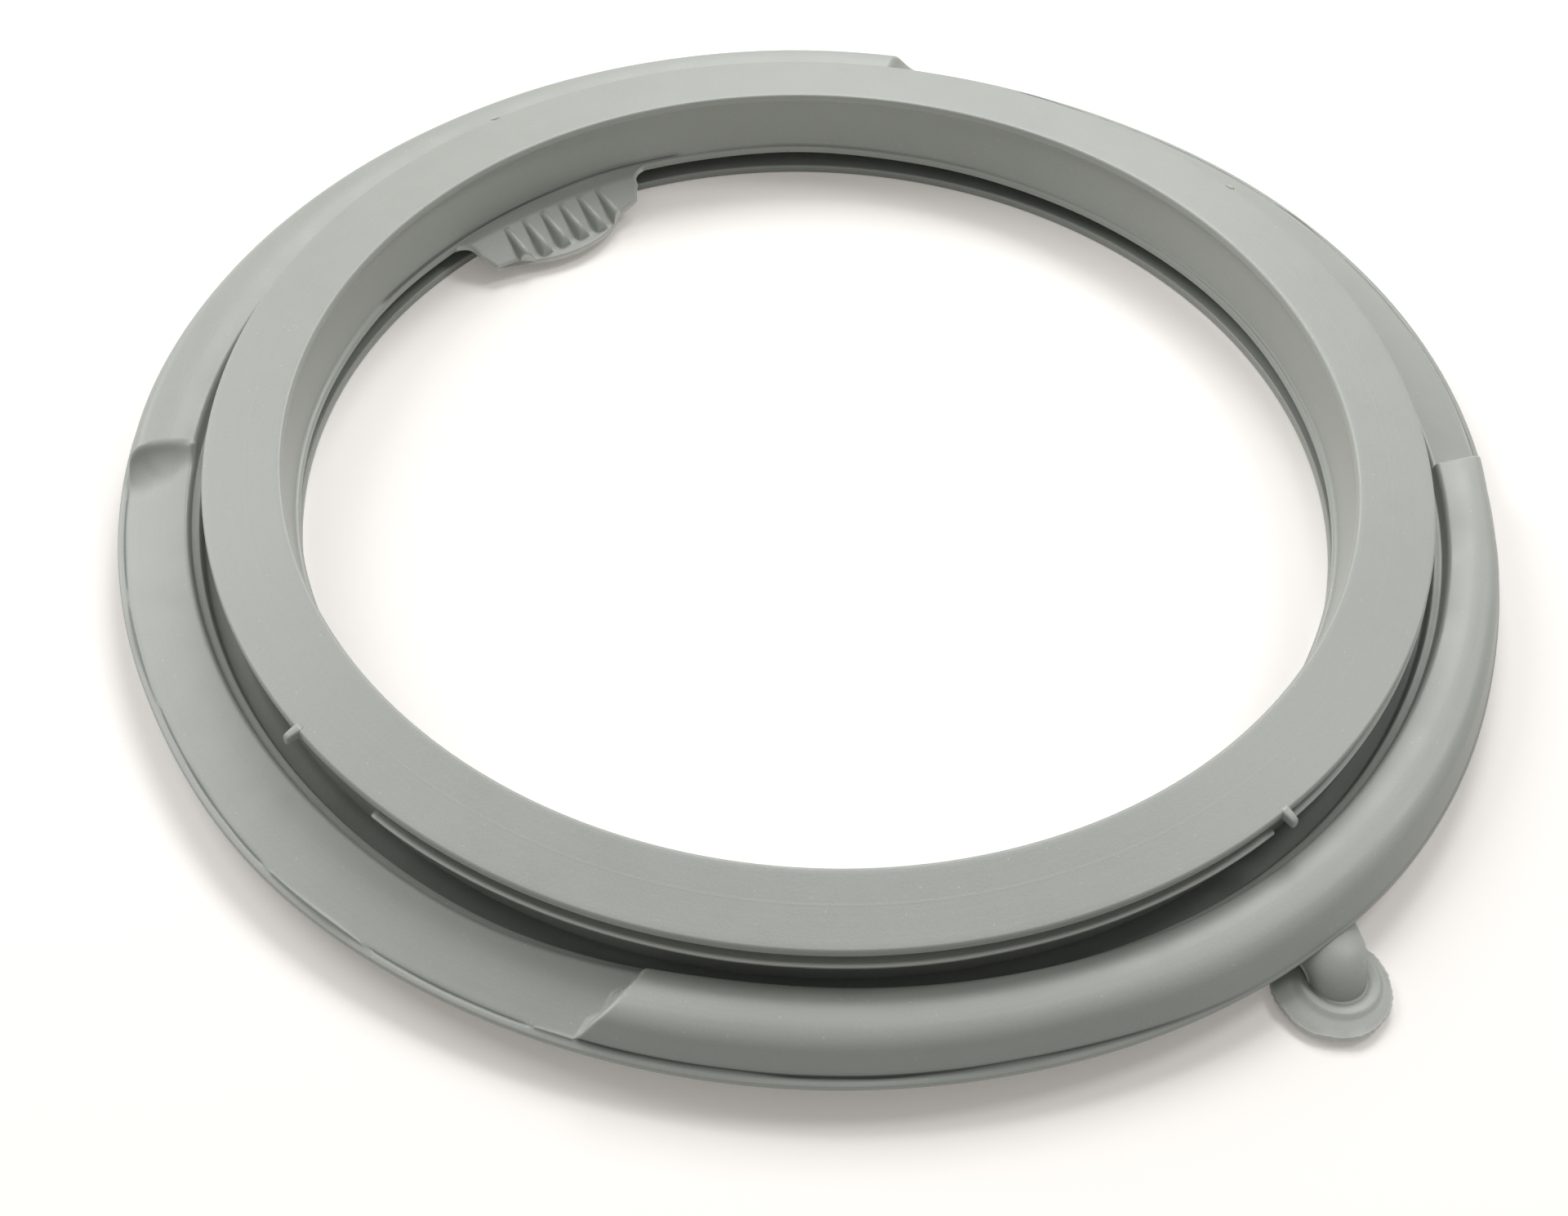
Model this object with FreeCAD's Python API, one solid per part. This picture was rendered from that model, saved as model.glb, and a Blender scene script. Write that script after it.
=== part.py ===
"""Door gasket of a front-loading washing machine, one rubber moulding.

It lies on its rear face at z = 0 with the front ring up. The origin is on the ring's axis, the drain
spigot points towards -Y and the ribbed tab sits opposite, towards +Y. Lengths are in millimetres and
angles are degrees in plan, counted from +X towards +Y.
"""
import FreeCAD, Part
import math
import os

from FreeCAD import Vector

# Front ring and throat
THROAT_RADIUS = 146.1          # clear opening at the bead
RING_OVERHANG = 2.3            # how far the ring's inner edge stands outside the bead
RING_WIDTH = 21.6
RING_HEIGHT = 29.8             # top of the inner edge above the rear face
RING_DISH = 2.1                # the face falls this much towards its outer edge
RING_THICKNESS = 2.5
THROAT_SET_BACK = 2.2          # the throat wall starts this far outside the ring's inner edge
THROAT_WALL = 2.2
BEAD_LIFT = 8.2                # underside of the bead above the rear face
BEAD_HEIGHT = 2.4
BEAD_PROUD = 1.3

# Clamp groove behind the ring, with its retaining rim in two lengths
GROOVE_DEPTH = 3.8
GROOVE_WIDTH = 3.0
RIM_THICKNESS = 1.8
RIM_PROUD = 0.6                # the rim stands this much outside the ring
RIM_SPANS = ((190.5, 270.3), (272.6, 352.0))

# Alignment nubs on the ring's outer edge
NUB_ANGLES = (0.8, 87.8, 180.6, 271.4)
NUB_REACH = 4.6
NUB_WIDTH = 2.6
NUB_RISE = 0.8

# Neck and valley between the ring and the shell
NECK_WALL = 2.8
VALLEY_WIDTH = 6.4             # from the ring's outer edge to the shell's inner edge
VALLEY_FLOOR = 9.0
LEDGE_RISE = 2.6
LEDGE_WIDTH = 3.6
LEDGE_DRAFT = 0.4              # the shell's inner side leans out this much over the ledge

# Outer shell: flat lengths, brim and raised lengths
SHELL_WIDTH = 18.8             # from the shell's inner edge to the brim's outer edge
SHELL_WALL = 2.6
FLAT_INNER_HEIGHT = 14.3
BRIM_HEIGHT = 9.6
BRIM_THICKNESS = 1.9
BRIM_SET_BACK = 1.9            # the raised lengths stop this far inside the brim's edge
CROWN_HEIGHT = 18.1
CROWN_INNER_HEIGHT = 16.4
CROWN_SHARE = 0.52             # where the crown lies between the shell's inner and outer side
SHOULDER_DROP = 0.3            # the outer side's corner lies this much below the crown
HOLLOW_DROP = 1.0              # the hollow falls this much more towards its outer side
SHOULDER_RADIUS = 7.0
ROUND_CHORDS = 3               # straight chords in a rounded corner of the section

# Rear collar and rear face
COLLAR_SET_BACK = 9.6          # the collar stands this far inside the brim's edge
COLLAR_WALL = 3.0
REAR_WALL = 2.8
REAR_SET_BACK = 0.6            # the rear face starts this far outside the bead

# Plan angles where the raised lengths end: inner and outer foot of each slanted end face
UPPER_START = (40.7, 39.3)
UPPER_END = (143.4, 146.2)
LOWER_START = (216.2, 212.6)
LOWER_END = (320.7, 322.9)
COVE_RADIUS = 11.0             # the upper raised length ends in coves
CHAMFER_SLOPE = 1.0            # the lower one ends in chamfers of this rise over run

# Ribbed tab
TAB_ANGLE = 87.2
TAB_REACH = 21.5               # from the bead to the tip
TAB_CORNER_REACH = 15.0
TAB_EAR_REACH = 15.4           # where the tip's bow starts
TAB_HALF_WIDTH = 27.2
TAB_BOW_HALF_WIDTH = 19.7
TAB_WAIST_REACH = 8.8
TAB_WAIST_HALF_WIDTH = 30.3
TAB_ROOT_HALF_WIDTH = 38.0
TAB_THICKNESS = 2.2
TAB_SET_DOWN = 0.2             # the tab's upper side lies this much below the bead's
TAB_LEDGE = 5.2                # level stretch next to the bead
TAB_BORDER = 4.2               # level stretch along the tip
TAB_TIP_LIFT = 2.5
RIB_COUNT = 6
RIB_PITCH = 6.86
RIB_WIDTH = 3.6                # at the foot of its lower end
RIB_TOP_WIDTH = 1.8            # at the foot of its upper end
RIB_CREST = 1.5                # width along the crest
RIB_PROUD = 2.6                # at its lower end
RIB_START = 0.1                # at its upper end

# Drain spigot with its disc flange
SPIGOT_ANGLE = 267.6
SPIGOT_REACH = 7.6             # from the brim's edge to the spigot's axis
SPIGOT_SHIFT = 2.4             # the tube stands this far beside the disc's centre
SPIGOT_SLANT = 24.0            # the duct runs back to the shell at this angle to the radius
SPIGOT_RADIUS = 7.1
SPIGOT_WALL = 1.9
SPIGOT_BORE_HEIGHT = 2.9       # the bore narrows above this height
SPIGOT_PASSAGE_RADIUS = 1.9
SPIGOT_ROOT_WIDTH = 9.0        # half axes of the flattened root
SPIGOT_ROOT_HEIGHT = 3.9
SPIGOT_ROOT_LEVEL = 5.4
SPIGOT_BEND_BACK = 5.0         # where the duct turns down, behind the tube's foot
SPIGOT_BEND_LEVEL = 6.2
SPIGOT_BEND_WIDTH = 8.1        # half axes there
SPIGOT_BEND_HEIGHT = 4.2
SPIGOT_BEND_PITCH = 36.0       # how far the duct points down there
DISC_RADIUS = 14.7
DISC_LIFT = 1.2
DISC_THICKNESS = 1.5
DISC_FILLET = 2.0

# Sizes that follow from the ones above
RING_INNER = THROAT_RADIUS + RING_OVERHANG
RING_OUTER = RING_INNER + RING_WIDTH
NECK_OUTER = RING_OUTER - GROOVE_DEPTH
NECK_INNER = NECK_OUTER - NECK_WALL
RING_UNDERSIDE = RING_HEIGHT - RING_DISH - RING_THICKNESS
RIM_TOP = RING_UNDERSIDE - GROOVE_WIDTH
SHELL_INNER = RING_OUTER + VALLEY_WIDTH
BRIM_RADIUS = SHELL_INNER + SHELL_WIDTH
RAISED_OUTER = BRIM_RADIUS - BRIM_SET_BACK
COLLAR_RADIUS = BRIM_RADIUS - COLLAR_SET_BACK
COLLAR_INNER = COLLAR_RADIUS - COLLAR_WALL
BRIM_UNDERSIDE = BRIM_HEIGHT - BRIM_THICKNESS
LEDGE_HEIGHT = VALLEY_FLOOR + LEDGE_RISE
LEDGE_INNER = SHELL_INNER - LEDGE_WIDTH
BEAD_TOP = BEAD_LIFT + BEAD_HEIGHT
REAR_RADIUS = THROAT_RADIUS + REAR_SET_BACK
SPIGOT_AXIS = BRIM_RADIUS + SPIGOT_REACH
CUT_REACH = 3 * SHELL_WIDTH    # a length that passes through the shell

AXIS = Vector(0, 0, 1)
CENTRE = Vector(0, 0, 0)


def polar(radius, angle, height=0.0):
    """Point at a radius, plan angle and height."""
    turn = math.radians(angle)
    return Vector(radius * math.cos(turn), radius * math.sin(turn), height)


def section_face(corners):
    """Face in the XZ half plane from its corners, in order round the section.

    A corner is (radius, height), and may add the radius of a tangent arc, which short chords stand
    for. The arc takes at most a bit under half of the shorter side beside it.
    """
    spots = [Vector(corner[0], 0, corner[1]) for corner in corners]
    outline = []
    for i, spot in enumerate(spots):
        if len(corners[i]) == 2:
            outline.append(spot)
            continue
        back = spots[i - 1] - spot
        ahead = spots[(i + 1) % len(spots)] - spot
        half_angle = back.getAngle(ahead) / 2
        set_back = min(corners[i][2] / math.tan(half_angle), 0.48 * min(back.Length, ahead.Length))
        radius = set_back * math.tan(half_angle)
        back.normalize()
        ahead.normalize()
        bisector = back + ahead
        bisector.normalize()
        middle = spot + bisector * (radius / math.sin(half_angle) - radius)
        arc = Part.Arc(spot + back * set_back, middle, spot + ahead * set_back)
        outline += arc.toShape().discretize(ROUND_CHORDS + 1)
    return Part.Face(Part.makePolygon(outline + outline[:1]))


def turned(corners, start=0.0, end=360.0):
    """Solid of revolution of a section between two plan angles."""
    face = section_face(corners)
    face.rotate(CENTRE, AXIS, start)
    return face.revolve(CENTRE, AXIS, end - start)


def flat_height(radius):
    """Height of the flat lengths' outer surface at a radius."""
    share = (radius - SHELL_INNER) / SHELL_WIDTH
    return FLAT_INNER_HEIGHT + share * (BRIM_HEIGHT - FLAT_INNER_HEIGHT)


def ring_underside(radius):
    """Height of the ring's underside at a radius, parallel to its face."""
    return RING_HEIGHT - RING_THICKNESS - RING_DISH * (radius - RING_INNER) / RING_WIDTH


def ring_and_shell():
    """The section that runs all the way round: ring, throat wall, neck, valley, shell and collar."""
    throat_top = RING_HEIGHT - RING_THICKNESS
    throat_start = RING_INNER + THROAT_SET_BACK
    throat_foot = THROAT_RADIUS + BEAD_PROUD
    return turned([
        (RING_INNER, RING_HEIGHT),
        (RING_OUTER, RING_HEIGHT - RING_DISH),
        (RING_OUTER, RING_UNDERSIDE),
        (NECK_OUTER, RING_UNDERSIDE),
        (NECK_OUTER, VALLEY_FLOOR),
        (LEDGE_INNER, VALLEY_FLOOR),
        (SHELL_INNER - LEDGE_DRAFT, LEDGE_HEIGHT),
        (SHELL_INNER, FLAT_INNER_HEIGHT),
        (BRIM_RADIUS, BRIM_HEIGHT),
        (BRIM_RADIUS, BRIM_UNDERSIDE),
        (COLLAR_RADIUS, BRIM_UNDERSIDE),
        (COLLAR_RADIUS, 0),
        (REAR_RADIUS, 0),
        (REAR_RADIUS, REAR_WALL),
        (COLLAR_INNER, REAR_WALL),
        (COLLAR_INNER, flat_height(COLLAR_INNER) - SHELL_WALL),
        (SHELL_INNER + SHELL_WALL, flat_height(SHELL_INNER + SHELL_WALL) - SHELL_WALL),
        (NECK_INNER, VALLEY_FLOOR - SHELL_WALL),
        (NECK_INNER, ring_underside(NECK_INNER)),
        (throat_start + THROAT_WALL, ring_underside(throat_start + THROAT_WALL)),
        (throat_foot + THROAT_WALL, BEAD_LIFT),
        (THROAT_RADIUS, BEAD_LIFT),
        (THROAT_RADIUS, BEAD_TOP),
        (throat_foot, BEAD_TOP),
        (throat_start, throat_top),
        (RING_INNER, throat_top),
    ])


def raised_section(inset):
    """Corners of the raised section: the outer form at inset 0, the hollow at a wall's inset.

    It starts inside the flat wall, or for the hollow below it, so that the two merge cleanly.
    """
    crown = SHELL_INNER + CROWN_SHARE * (RAISED_OUTER - SHELL_INNER)
    outer = RAISED_OUTER - inset
    inner = SHELL_INNER + inset
    brim_middle = BRIM_HEIGHT - BRIM_THICKNESS / 2
    if inset:
        return [(inner, REAR_WALL + 2 * inset), (COLLAR_INNER, REAR_WALL + 2 * inset),
                (COLLAR_INNER, BRIM_HEIGHT), (outer, BRIM_HEIGHT),
                (outer, CROWN_HEIGHT - SHOULDER_DROP - HOLLOW_DROP - inset),
                (inner, CROWN_INNER_HEIGHT - inset)]
    return [(inner, FLAT_INNER_HEIGHT - SHELL_WALL), (inner + SHELL_WALL, brim_middle),
            (outer, brim_middle), (outer, CROWN_HEIGHT - SHOULDER_DROP, SHOULDER_RADIUS),
            (crown, CROWN_HEIGHT), (inner, CROWN_INNER_HEIGHT)]


def end_cutter(feet, away, curved, inset):
    """Solid that trims a raised length along its slanted end.

    feet are the plan angles of the end's inner and outer foot. away is +1 where the flat length lies
    at greater angles. The end face rises from the foot line as a cove or as a chamfer, and a hollow's
    end is moved inwards and down by its inset.
    """
    inner = polar(SHELL_INNER, feet[0], flat_height(SHELL_INNER) - inset)
    outer = polar(BRIM_RADIUS, feet[1], flat_height(BRIM_RADIUS) - inset)
    along = outer - inner
    along.normalize()
    inwards = along.cross(AXIS) * away
    inwards.normalize()
    up = inwards.cross(along) * away
    if up.z < 0:
        up = -up
    start = inner - along * CUT_REACH / 2 + inwards * inset

    def spot(run, rise):
        return start + inwards * run + up * rise

    if curved:
        half = COVE_RADIUS / math.sqrt(2)
        rise = [Part.Arc(spot(0, 0), spot(half, COVE_RADIUS - half),
                         spot(COVE_RADIUS, COVE_RADIUS)).toShape()]
        run, top = COVE_RADIUS, COVE_RADIUS
    else:
        top = CROWN_HEIGHT
        run = top / CHAMFER_SLOPE
        rise = [Part.LineSegment(spot(0, 0), spot(run, top)).toShape()]
    far = [spot(run, top), spot(run, CUT_REACH), spot(-CUT_REACH, CUT_REACH),
           spot(-CUT_REACH, -CUT_REACH), spot(0, -CUT_REACH), spot(0, 0)]
    sides = [Part.LineSegment(a, b).toShape() for a, b in zip(far, far[1:])]
    return Part.Face(Part.Wire(rise + sides)).extrude(along * CUT_REACH * 2)


def raised_length(start, end, curved, inset):
    """One raised length of the shell between its two slanted ends, as a solid."""
    spare = 3.0
    body = turned(raised_section(inset), min(start) - spare, max(end) + spare)
    body = body.cut(end_cutter(start, -1, curved, inset))
    return body.cut(end_cutter(end, 1, curved, inset))


def rim(start, end):
    """One length of the thin rim behind the clamp groove, with square ends."""
    outer = RING_OUTER + RIM_PROUD
    return turned([
        (NECK_OUTER - NECK_WALL / 2, RIM_TOP), (outer, RIM_TOP),
        (outer, RIM_TOP - RIM_THICKNESS),
        (NECK_OUTER - NECK_WALL / 2, RIM_TOP - RIM_THICKNESS)], start, end)


def nub(angle):
    """Tapered alignment nub that sticks out of the ring's outer edge."""
    top = RING_HEIGHT - RING_DISH + NUB_RISE
    half, tip = NUB_WIDTH / 2, NUB_WIDTH / 3
    inner, outer = RING_OUTER - NUB_REACH / 2, RING_OUTER + NUB_REACH
    outline = Part.makePolygon([
        Vector(inner, -half, 0), Vector(outer, -tip, 0), Vector(outer, tip, 0),
        Vector(inner, half, 0), Vector(inner, -half, 0)])
    body = Part.Face(outline).extrude(Vector(0, 0, RING_THICKNESS + NUB_RISE))
    body.translate(Vector(0, 0, top - RING_THICKNESS - NUB_RISE))
    body.rotate(CENTRE, AXIS, angle)
    return body


def tab():
    """Ribbed tab: a plate that runs level from the bead, slopes down and ends level over the floor."""
    top = BEAD_TOP - TAB_SET_DOWN
    low = TAB_TIP_LIFT + TAB_THICKNESS
    tip = THROAT_RADIUS - TAB_REACH
    slope_start = THROAT_RADIUS - TAB_LEDGE
    slope_end = tip + TAB_BORDER
    root = THROAT_RADIUS + BEAD_PROUD + THROAT_WALL / 2
    fold = TAB_THICKNESS / 2

    section = [(root, top), (slope_start, top), (slope_end, low), (tip - fold, low),
               (tip - fold, TAB_TIP_LIFT), (slope_end - fold, TAB_TIP_LIFT),
               (slope_start - fold, top - TAB_THICKNESS), (root, top - TAB_THICKNESS), (root, top)]
    wire = Part.makePolygon([Vector(-TAB_ROOT_HALF_WIDTH, y, z) for y, z in section])
    plate = Part.Face(wire).extrude(Vector(2 * TAB_ROOT_HALF_WIDTH, 0, 0))
    plan = Part.Face(tab_outline(root)).extrude(Vector(0, 0, RING_HEIGHT))
    body = plate.common(plan).common(Part.makeCylinder(root, RING_HEIGHT))

    for i in range(RIB_COUNT):
        side = (i - (RIB_COUNT - 1) / 2) * RIB_PITCH
        border = slope_end + (TAB_REACH - TAB_EAR_REACH) * (side / TAB_BOW_HALF_WIDTH) ** 2 / 2
        body = body.fuse(rib(Vector(side, slope_start, top), Vector(side, border, low)))
    body.rotate(CENTRE, AXIS, TAB_ANGLE - 90)
    return body


def tab_outline(root):
    """Plan outline of the tab, which points towards +Y: bowed tip, ears, slanted sides and coves."""
    bead_at_root = math.sqrt(THROAT_RADIUS ** 2 - TAB_ROOT_HALF_WIDTH ** 2)
    waist = Vector(TAB_WAIST_HALF_WIDTH, THROAT_RADIUS - TAB_WAIST_REACH, 0)
    cove_end = Vector(TAB_ROOT_HALF_WIDTH, bead_at_root, 0)
    cove_middle = Vector((3 * waist.x + 2 * cove_end.x) / 5, (2 * waist.y + 3 * cove_end.y) / 5, 0)
    right = [Vector(TAB_BOW_HALF_WIDTH, THROAT_RADIUS - TAB_EAR_REACH, 0),
             Vector(TAB_HALF_WIDTH, THROAT_RADIUS - TAB_CORNER_REACH, 0),
             waist, cove_middle, cove_end, Vector(TAB_ROOT_HALF_WIDTH, root, 0)]
    left = [Vector(-p.x, p.y, 0) for p in right]
    edges = [Part.Arc(left[0], Vector(0, THROAT_RADIUS - TAB_REACH, 0), right[0]).toShape()]
    for side in (right, left):
        edges += [Part.LineSegment(side[0], side[1]).toShape(),
                  Part.LineSegment(side[1], side[2]).toShape(),
                  Part.Arc(side[2], side[3], side[4]).toShape(),
                  Part.LineSegment(side[4], side[5]).toShape()]
    edges.append(Part.LineSegment(right[5], left[5]).toShape())
    return Part.Wire(Part.__sortEdges__(edges))


def rib(start, end):
    """Wedge-shaped rib that grows out of the tab's slope from start down to end."""
    wires = []
    for foot, width, rise in ((start, RIB_TOP_WIDTH, RIB_START), (end, RIB_WIDTH, RIB_PROUD)):
        corners = [Vector(-width / 2, 0, -TAB_THICKNESS / 2), Vector(width / 2, 0, -TAB_THICKNESS / 2),
                   Vector(RIB_CREST / 2, 0, rise), Vector(-RIB_CREST / 2, 0, rise)]
        wires.append(Part.makePolygon([foot + corner for corner in corners + corners[:1]]))
    return Part.makeLoft(wires, True, True)


def ellipse_wire(centre, half_width, half_height, pitch):
    """Closed ellipse across the duct, which runs along +X and points down by pitch degrees."""
    facing = Vector(math.cos(math.radians(pitch)), 0, -math.sin(math.radians(pitch)))
    level = AXIS.cross(facing)
    level.normalize()
    rise = facing.cross(level)
    curve = Part.Ellipse(centre + level * half_width, centre + rise * half_height, centre)
    return Part.Wire(curve.toShape())


def spigot_spot(back, height):
    """Point on the duct's slanted path, at a radial distance back from the tube's foot."""
    sideways = SPIGOT_SHIFT + back * math.tan(math.radians(SPIGOT_SLANT))
    return Vector(SPIGOT_AXIS - back, sideways, height)


def in_place(shape):
    """Turn a shape made with the spigot towards +X to where the spigot is."""
    shape.rotate(CENTRE, AXIS, SPIGOT_ANGLE)
    return shape


def spigot_duct():
    """Outer form of the spigot, which leaves the shell sideways and turns down to the disc.

    It is lofted along +X over the tube's foot, then turned by the slant and set on the foot.
    """
    back = (SPIGOT_AXIS - COLLAR_RADIUS + COLLAR_WALL / 2) / math.cos(math.radians(SPIGOT_SLANT))
    root = Vector(-back, 0, SPIGOT_ROOT_LEVEL)
    bend = Vector(-SPIGOT_BEND_BACK, 0, SPIGOT_BEND_LEVEL)
    foot = Part.Circle(Vector(0, 0, DISC_LIFT + DISC_THICKNESS / 2), -AXIS, SPIGOT_RADIUS)
    duct = Part.makeLoft([
        ellipse_wire(root, SPIGOT_ROOT_WIDTH, SPIGOT_ROOT_HEIGHT, 0),
        ellipse_wire(bend, SPIGOT_BEND_WIDTH, SPIGOT_BEND_HEIGHT, SPIGOT_BEND_PITCH),
        Part.Wire(foot.toShape()),
    ], True, False)
    duct.rotate(CENTRE, AXIS, -SPIGOT_SLANT)
    duct.translate(spigot_spot(0, 0))
    return in_place(duct)


def disc():
    """Disc flange round the spigot's lower end, and the ring of rubber up to the tube."""
    top = DISC_LIFT + DISC_THICKNESS
    flange = Part.makeCylinder(DISC_RADIUS, DISC_THICKNESS, Vector(SPIGOT_AXIS, 0, DISC_LIFT))
    fillet = Part.makeCone(SPIGOT_RADIUS + DISC_FILLET, SPIGOT_RADIUS, DISC_FILLET, spigot_spot(0, top))
    return in_place(flange.fuse(fillet))


def spigot_passage():
    """Bore from below, and the narrower passage from it through the duct into the hollow shell."""
    bore = Part.makeCylinder(SPIGOT_RADIUS - SPIGOT_WALL, SPIGOT_BORE_HEIGHT, spigot_spot(0, 0))
    drop = Part.makeCylinder(SPIGOT_PASSAGE_RADIUS, SPIGOT_ROOT_LEVEL, spigot_spot(0, 0))
    start = spigot_spot(0, SPIGOT_ROOT_LEVEL)
    end = spigot_spot(SPIGOT_AXIS - COLLAR_INNER + COLLAR_WALL, SPIGOT_ROOT_LEVEL)
    channel = Part.makeCylinder(SPIGOT_PASSAGE_RADIUS, (end - start).Length, start, end - start)
    return in_place(channel.fuse(bore).fuse(drop))


def door_gasket():
    """The whole moulding as one solid."""
    body = ring_and_shell()
    lengths = ((UPPER_START, UPPER_END, True), (LOWER_START, LOWER_END, False))
    for start, end, curved in lengths:
        body = body.fuse(raised_length(start, end, curved, 0))
    for start, end, curved in lengths:
        body = body.cut(raised_length(start, end, curved, SHELL_WALL))
    for span in RIM_SPANS:
        body = body.fuse(rim(*span))
    for angle in NUB_ANGLES:
        body = body.fuse(nub(angle))
    body = body.fuse(tab())
    body = body.fuse(spigot_duct())
    body = body.fuse(disc())
    body = body.cut(spigot_passage())
    return body.removeSplitter()


os.makedirs("parts", exist_ok=True)
gasket = door_gasket()
gasket.exportStep("parts/door_gasket.step")
print("door_gasket: valid", gasket.isValid(), "solids", len(gasket.Solids),
      "volume", round(gasket.Volume / 1000, 1), "cm3", "box", gasket.BoundBox)
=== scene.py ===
"""Door gasket of a front-loading washing machine in a plain studio, laid out as an add-on.

The gasket is one moulding of matt grey rubber that lies on its rear face at z = 0, front ring up. Its
surfaces are worked out as grids of points: sections turned about the z axis or carried along a path.
Lengths are worked out in metres, and angles are degrees in plan, counted from +X towards +Y. The drain
spigot points towards -Y and the ribbed tab sits opposite.
"""
import math

import bpy
import numpy as np
from bpy.props import FloatProperty, FloatVectorProperty, IntProperty, PointerProperty
from mathutils import Matrix, Vector


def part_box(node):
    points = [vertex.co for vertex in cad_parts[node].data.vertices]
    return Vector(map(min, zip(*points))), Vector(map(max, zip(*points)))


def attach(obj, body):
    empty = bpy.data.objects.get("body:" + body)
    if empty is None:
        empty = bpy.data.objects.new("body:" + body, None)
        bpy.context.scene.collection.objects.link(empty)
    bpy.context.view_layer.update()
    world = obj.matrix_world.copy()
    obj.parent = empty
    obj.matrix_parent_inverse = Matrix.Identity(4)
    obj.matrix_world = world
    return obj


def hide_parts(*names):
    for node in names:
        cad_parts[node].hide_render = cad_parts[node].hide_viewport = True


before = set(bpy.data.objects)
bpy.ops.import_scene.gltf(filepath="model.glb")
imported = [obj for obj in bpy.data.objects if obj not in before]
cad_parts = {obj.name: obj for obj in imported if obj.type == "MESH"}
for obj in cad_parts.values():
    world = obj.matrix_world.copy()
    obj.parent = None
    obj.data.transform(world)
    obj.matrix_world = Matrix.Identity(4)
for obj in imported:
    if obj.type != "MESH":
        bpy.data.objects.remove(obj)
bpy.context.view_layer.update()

bl_info = {
    "name": "Door gasket",
    "version": (1, 0, 0),
    "blender": (4, 5, 0),
    "location": "View3D > Sidebar > Gasket",
    "description": "Builds a moulded rubber door gasket and a plain studio round it",
    "category": "Object",
}

MM = 0.001
UP = np.array([0.0, 0.0, 1.0])
NODE = "door_gasket"
NODE_LOW, NODE_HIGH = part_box(NODE)
RING_TOP = NODE_HIGH[2]
BRIM_RADIUS = NODE_HIGH[0]

# Plan angles of the inner and outer foot of the raised lengths' slanted ends. Each end also says on which
# side of its foot line the raised length lies, and whether it rises as a cove or as a chamfer.
RAISED_ENDS = (
    (40.2, 38.5, 1, "cove"),
    (143.4, 146.2, -1, "cove"),
    (216.2, 212.6, 1, "chamfer"),
    (321.2, 323.0, -1, "chamfer"),
)
RIM_SPANS = ((190.5, 270.3), (272.6, 352.0))      # plan angles where each clamp rim starts and ends
NUBS = ((0.8, 0.55), (87.8, 0.5), (180.6, 1.0), (271.4, 1.0))     # plan angle and share of the full reach
TAB_ANGLE = 87.2
SPIGOT_ANGLE = 267.6

# The rubber has sagged a little out of round: millimetres by which the brim stands outside its circle at a
# plan angle
BRIM_DRIFT = (
    (4, 1.2), (20, -0.3), (52, 0.1), (66, -0.9), (90, -1.9), (106, -1.2), (118, -0.2), (136, 1.3),
    (150, 0.3), (170, -0.6), (186, 0.8), (204, -0.2), (222, -0.5), (242, -0.4), (258, 1.0), (276, 1.3),
    (288, -0.3), (300, -2.8), (312, -3.5), (320, -2.7), (332, -0.7), (344, 0.6),
)
# Millimetres by which the shell's inner edge stands outside its circle: the valley is narrow left of the
# spigot
INNER_DRIFT = (
    (100, 0), (154, -0.7), (184, -1.2), (204, -0.6), (212, -2.2), (221, -4.4), (232, -4.0), (244, -3.0),
    (256, -1.2), (268, 0), (294, -0.6), (318, 0),
)
# Share of the full lean that the raised lengths' outer side has at a plan angle: it is small on the far side
LEAN_SHARES = ((143, 0.1), (215, 0.85), (226, 1.0), (272, 1.0), (296, 0.5), (322, 0.15))
CROWN_SHARE = 0.52             # place of the crown on the way from the shell's inner edge to its side
CROWN_LEAN = 0.7               # share of the lean by which the crown moves inwards too
DRIFT_BLUR = 4.0               # degrees over which a drift is evened out
DRIFT_EDGE = 19 * MM           # the inner drift is greatest this far inside the brim's circle
DRIFT_START = 9 * MM           # and starts this much further inside
NO_LIMIT = 1.0                 # height in metres that stands for no limit to a raised length
END_REACH = 12                 # a slanted end reaches this many degrees from its middle at most
END_SPARE = 8                  # degrees by which a raised length is counted beyond its ends' foot lines
COARSE_STEP = 0.85             # degrees between the shell's columns
FINE_STEP = 0.12               # degrees between them across the slanted ends
FINE_OUTSIDE = 2.6             # degrees of fine columns outside a raised length's end
FINE_INSIDE = 6.2              # and inside it
FINE_GAP = 0.4                 # least degrees between the fine columns and the coarse ones

# The brim is narrow and thin on the near side, where the raised length's side stands further out
NARROW_STARTS = (246, 264)     # plan angles between which that comes
NARROW_ENDS = (308, 318)       # and between which it goes
NARROW_REACH = 9 * MM          # width of the side that moves out
NARROW_WIDTH = 0.75            # share of the brim's width that is lost
NARROW_LIFT = 0.5              # share of its thickness that is lost from below

# Noise of the rubber's surface: waves to the metre, detail and roughness
CLOUD_NOISE = (11.0, 3.0, 0.5)
PATCH_NOISE = (75.0, 4.0, 0.6)
GRAIN_NOISE = (1500.0, 2.0, 0.6)
TURNED_WAVES = 700.0           # fine turned lines from the mould, waves to the metre of radius
SPECK_CELLS = 420.0            # cells to the metre that may hold a speck of dust
SPECK_CHOICE = 0.85            # share of the cells that stay clean
FACE_LINE_RADIUS = 158.4 * MM  # faint turned line on the ring's face
FACE_LINE_WIDTH = 0.55 * MM    # half its width


def length(name, description, millimetres):
    """Setting for a length: given in millimetres, kept in metres and shown in the scene's unit."""
    return FloatProperty(name=name, description=description, default=millimetres * MM, unit="LENGTH")


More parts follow.
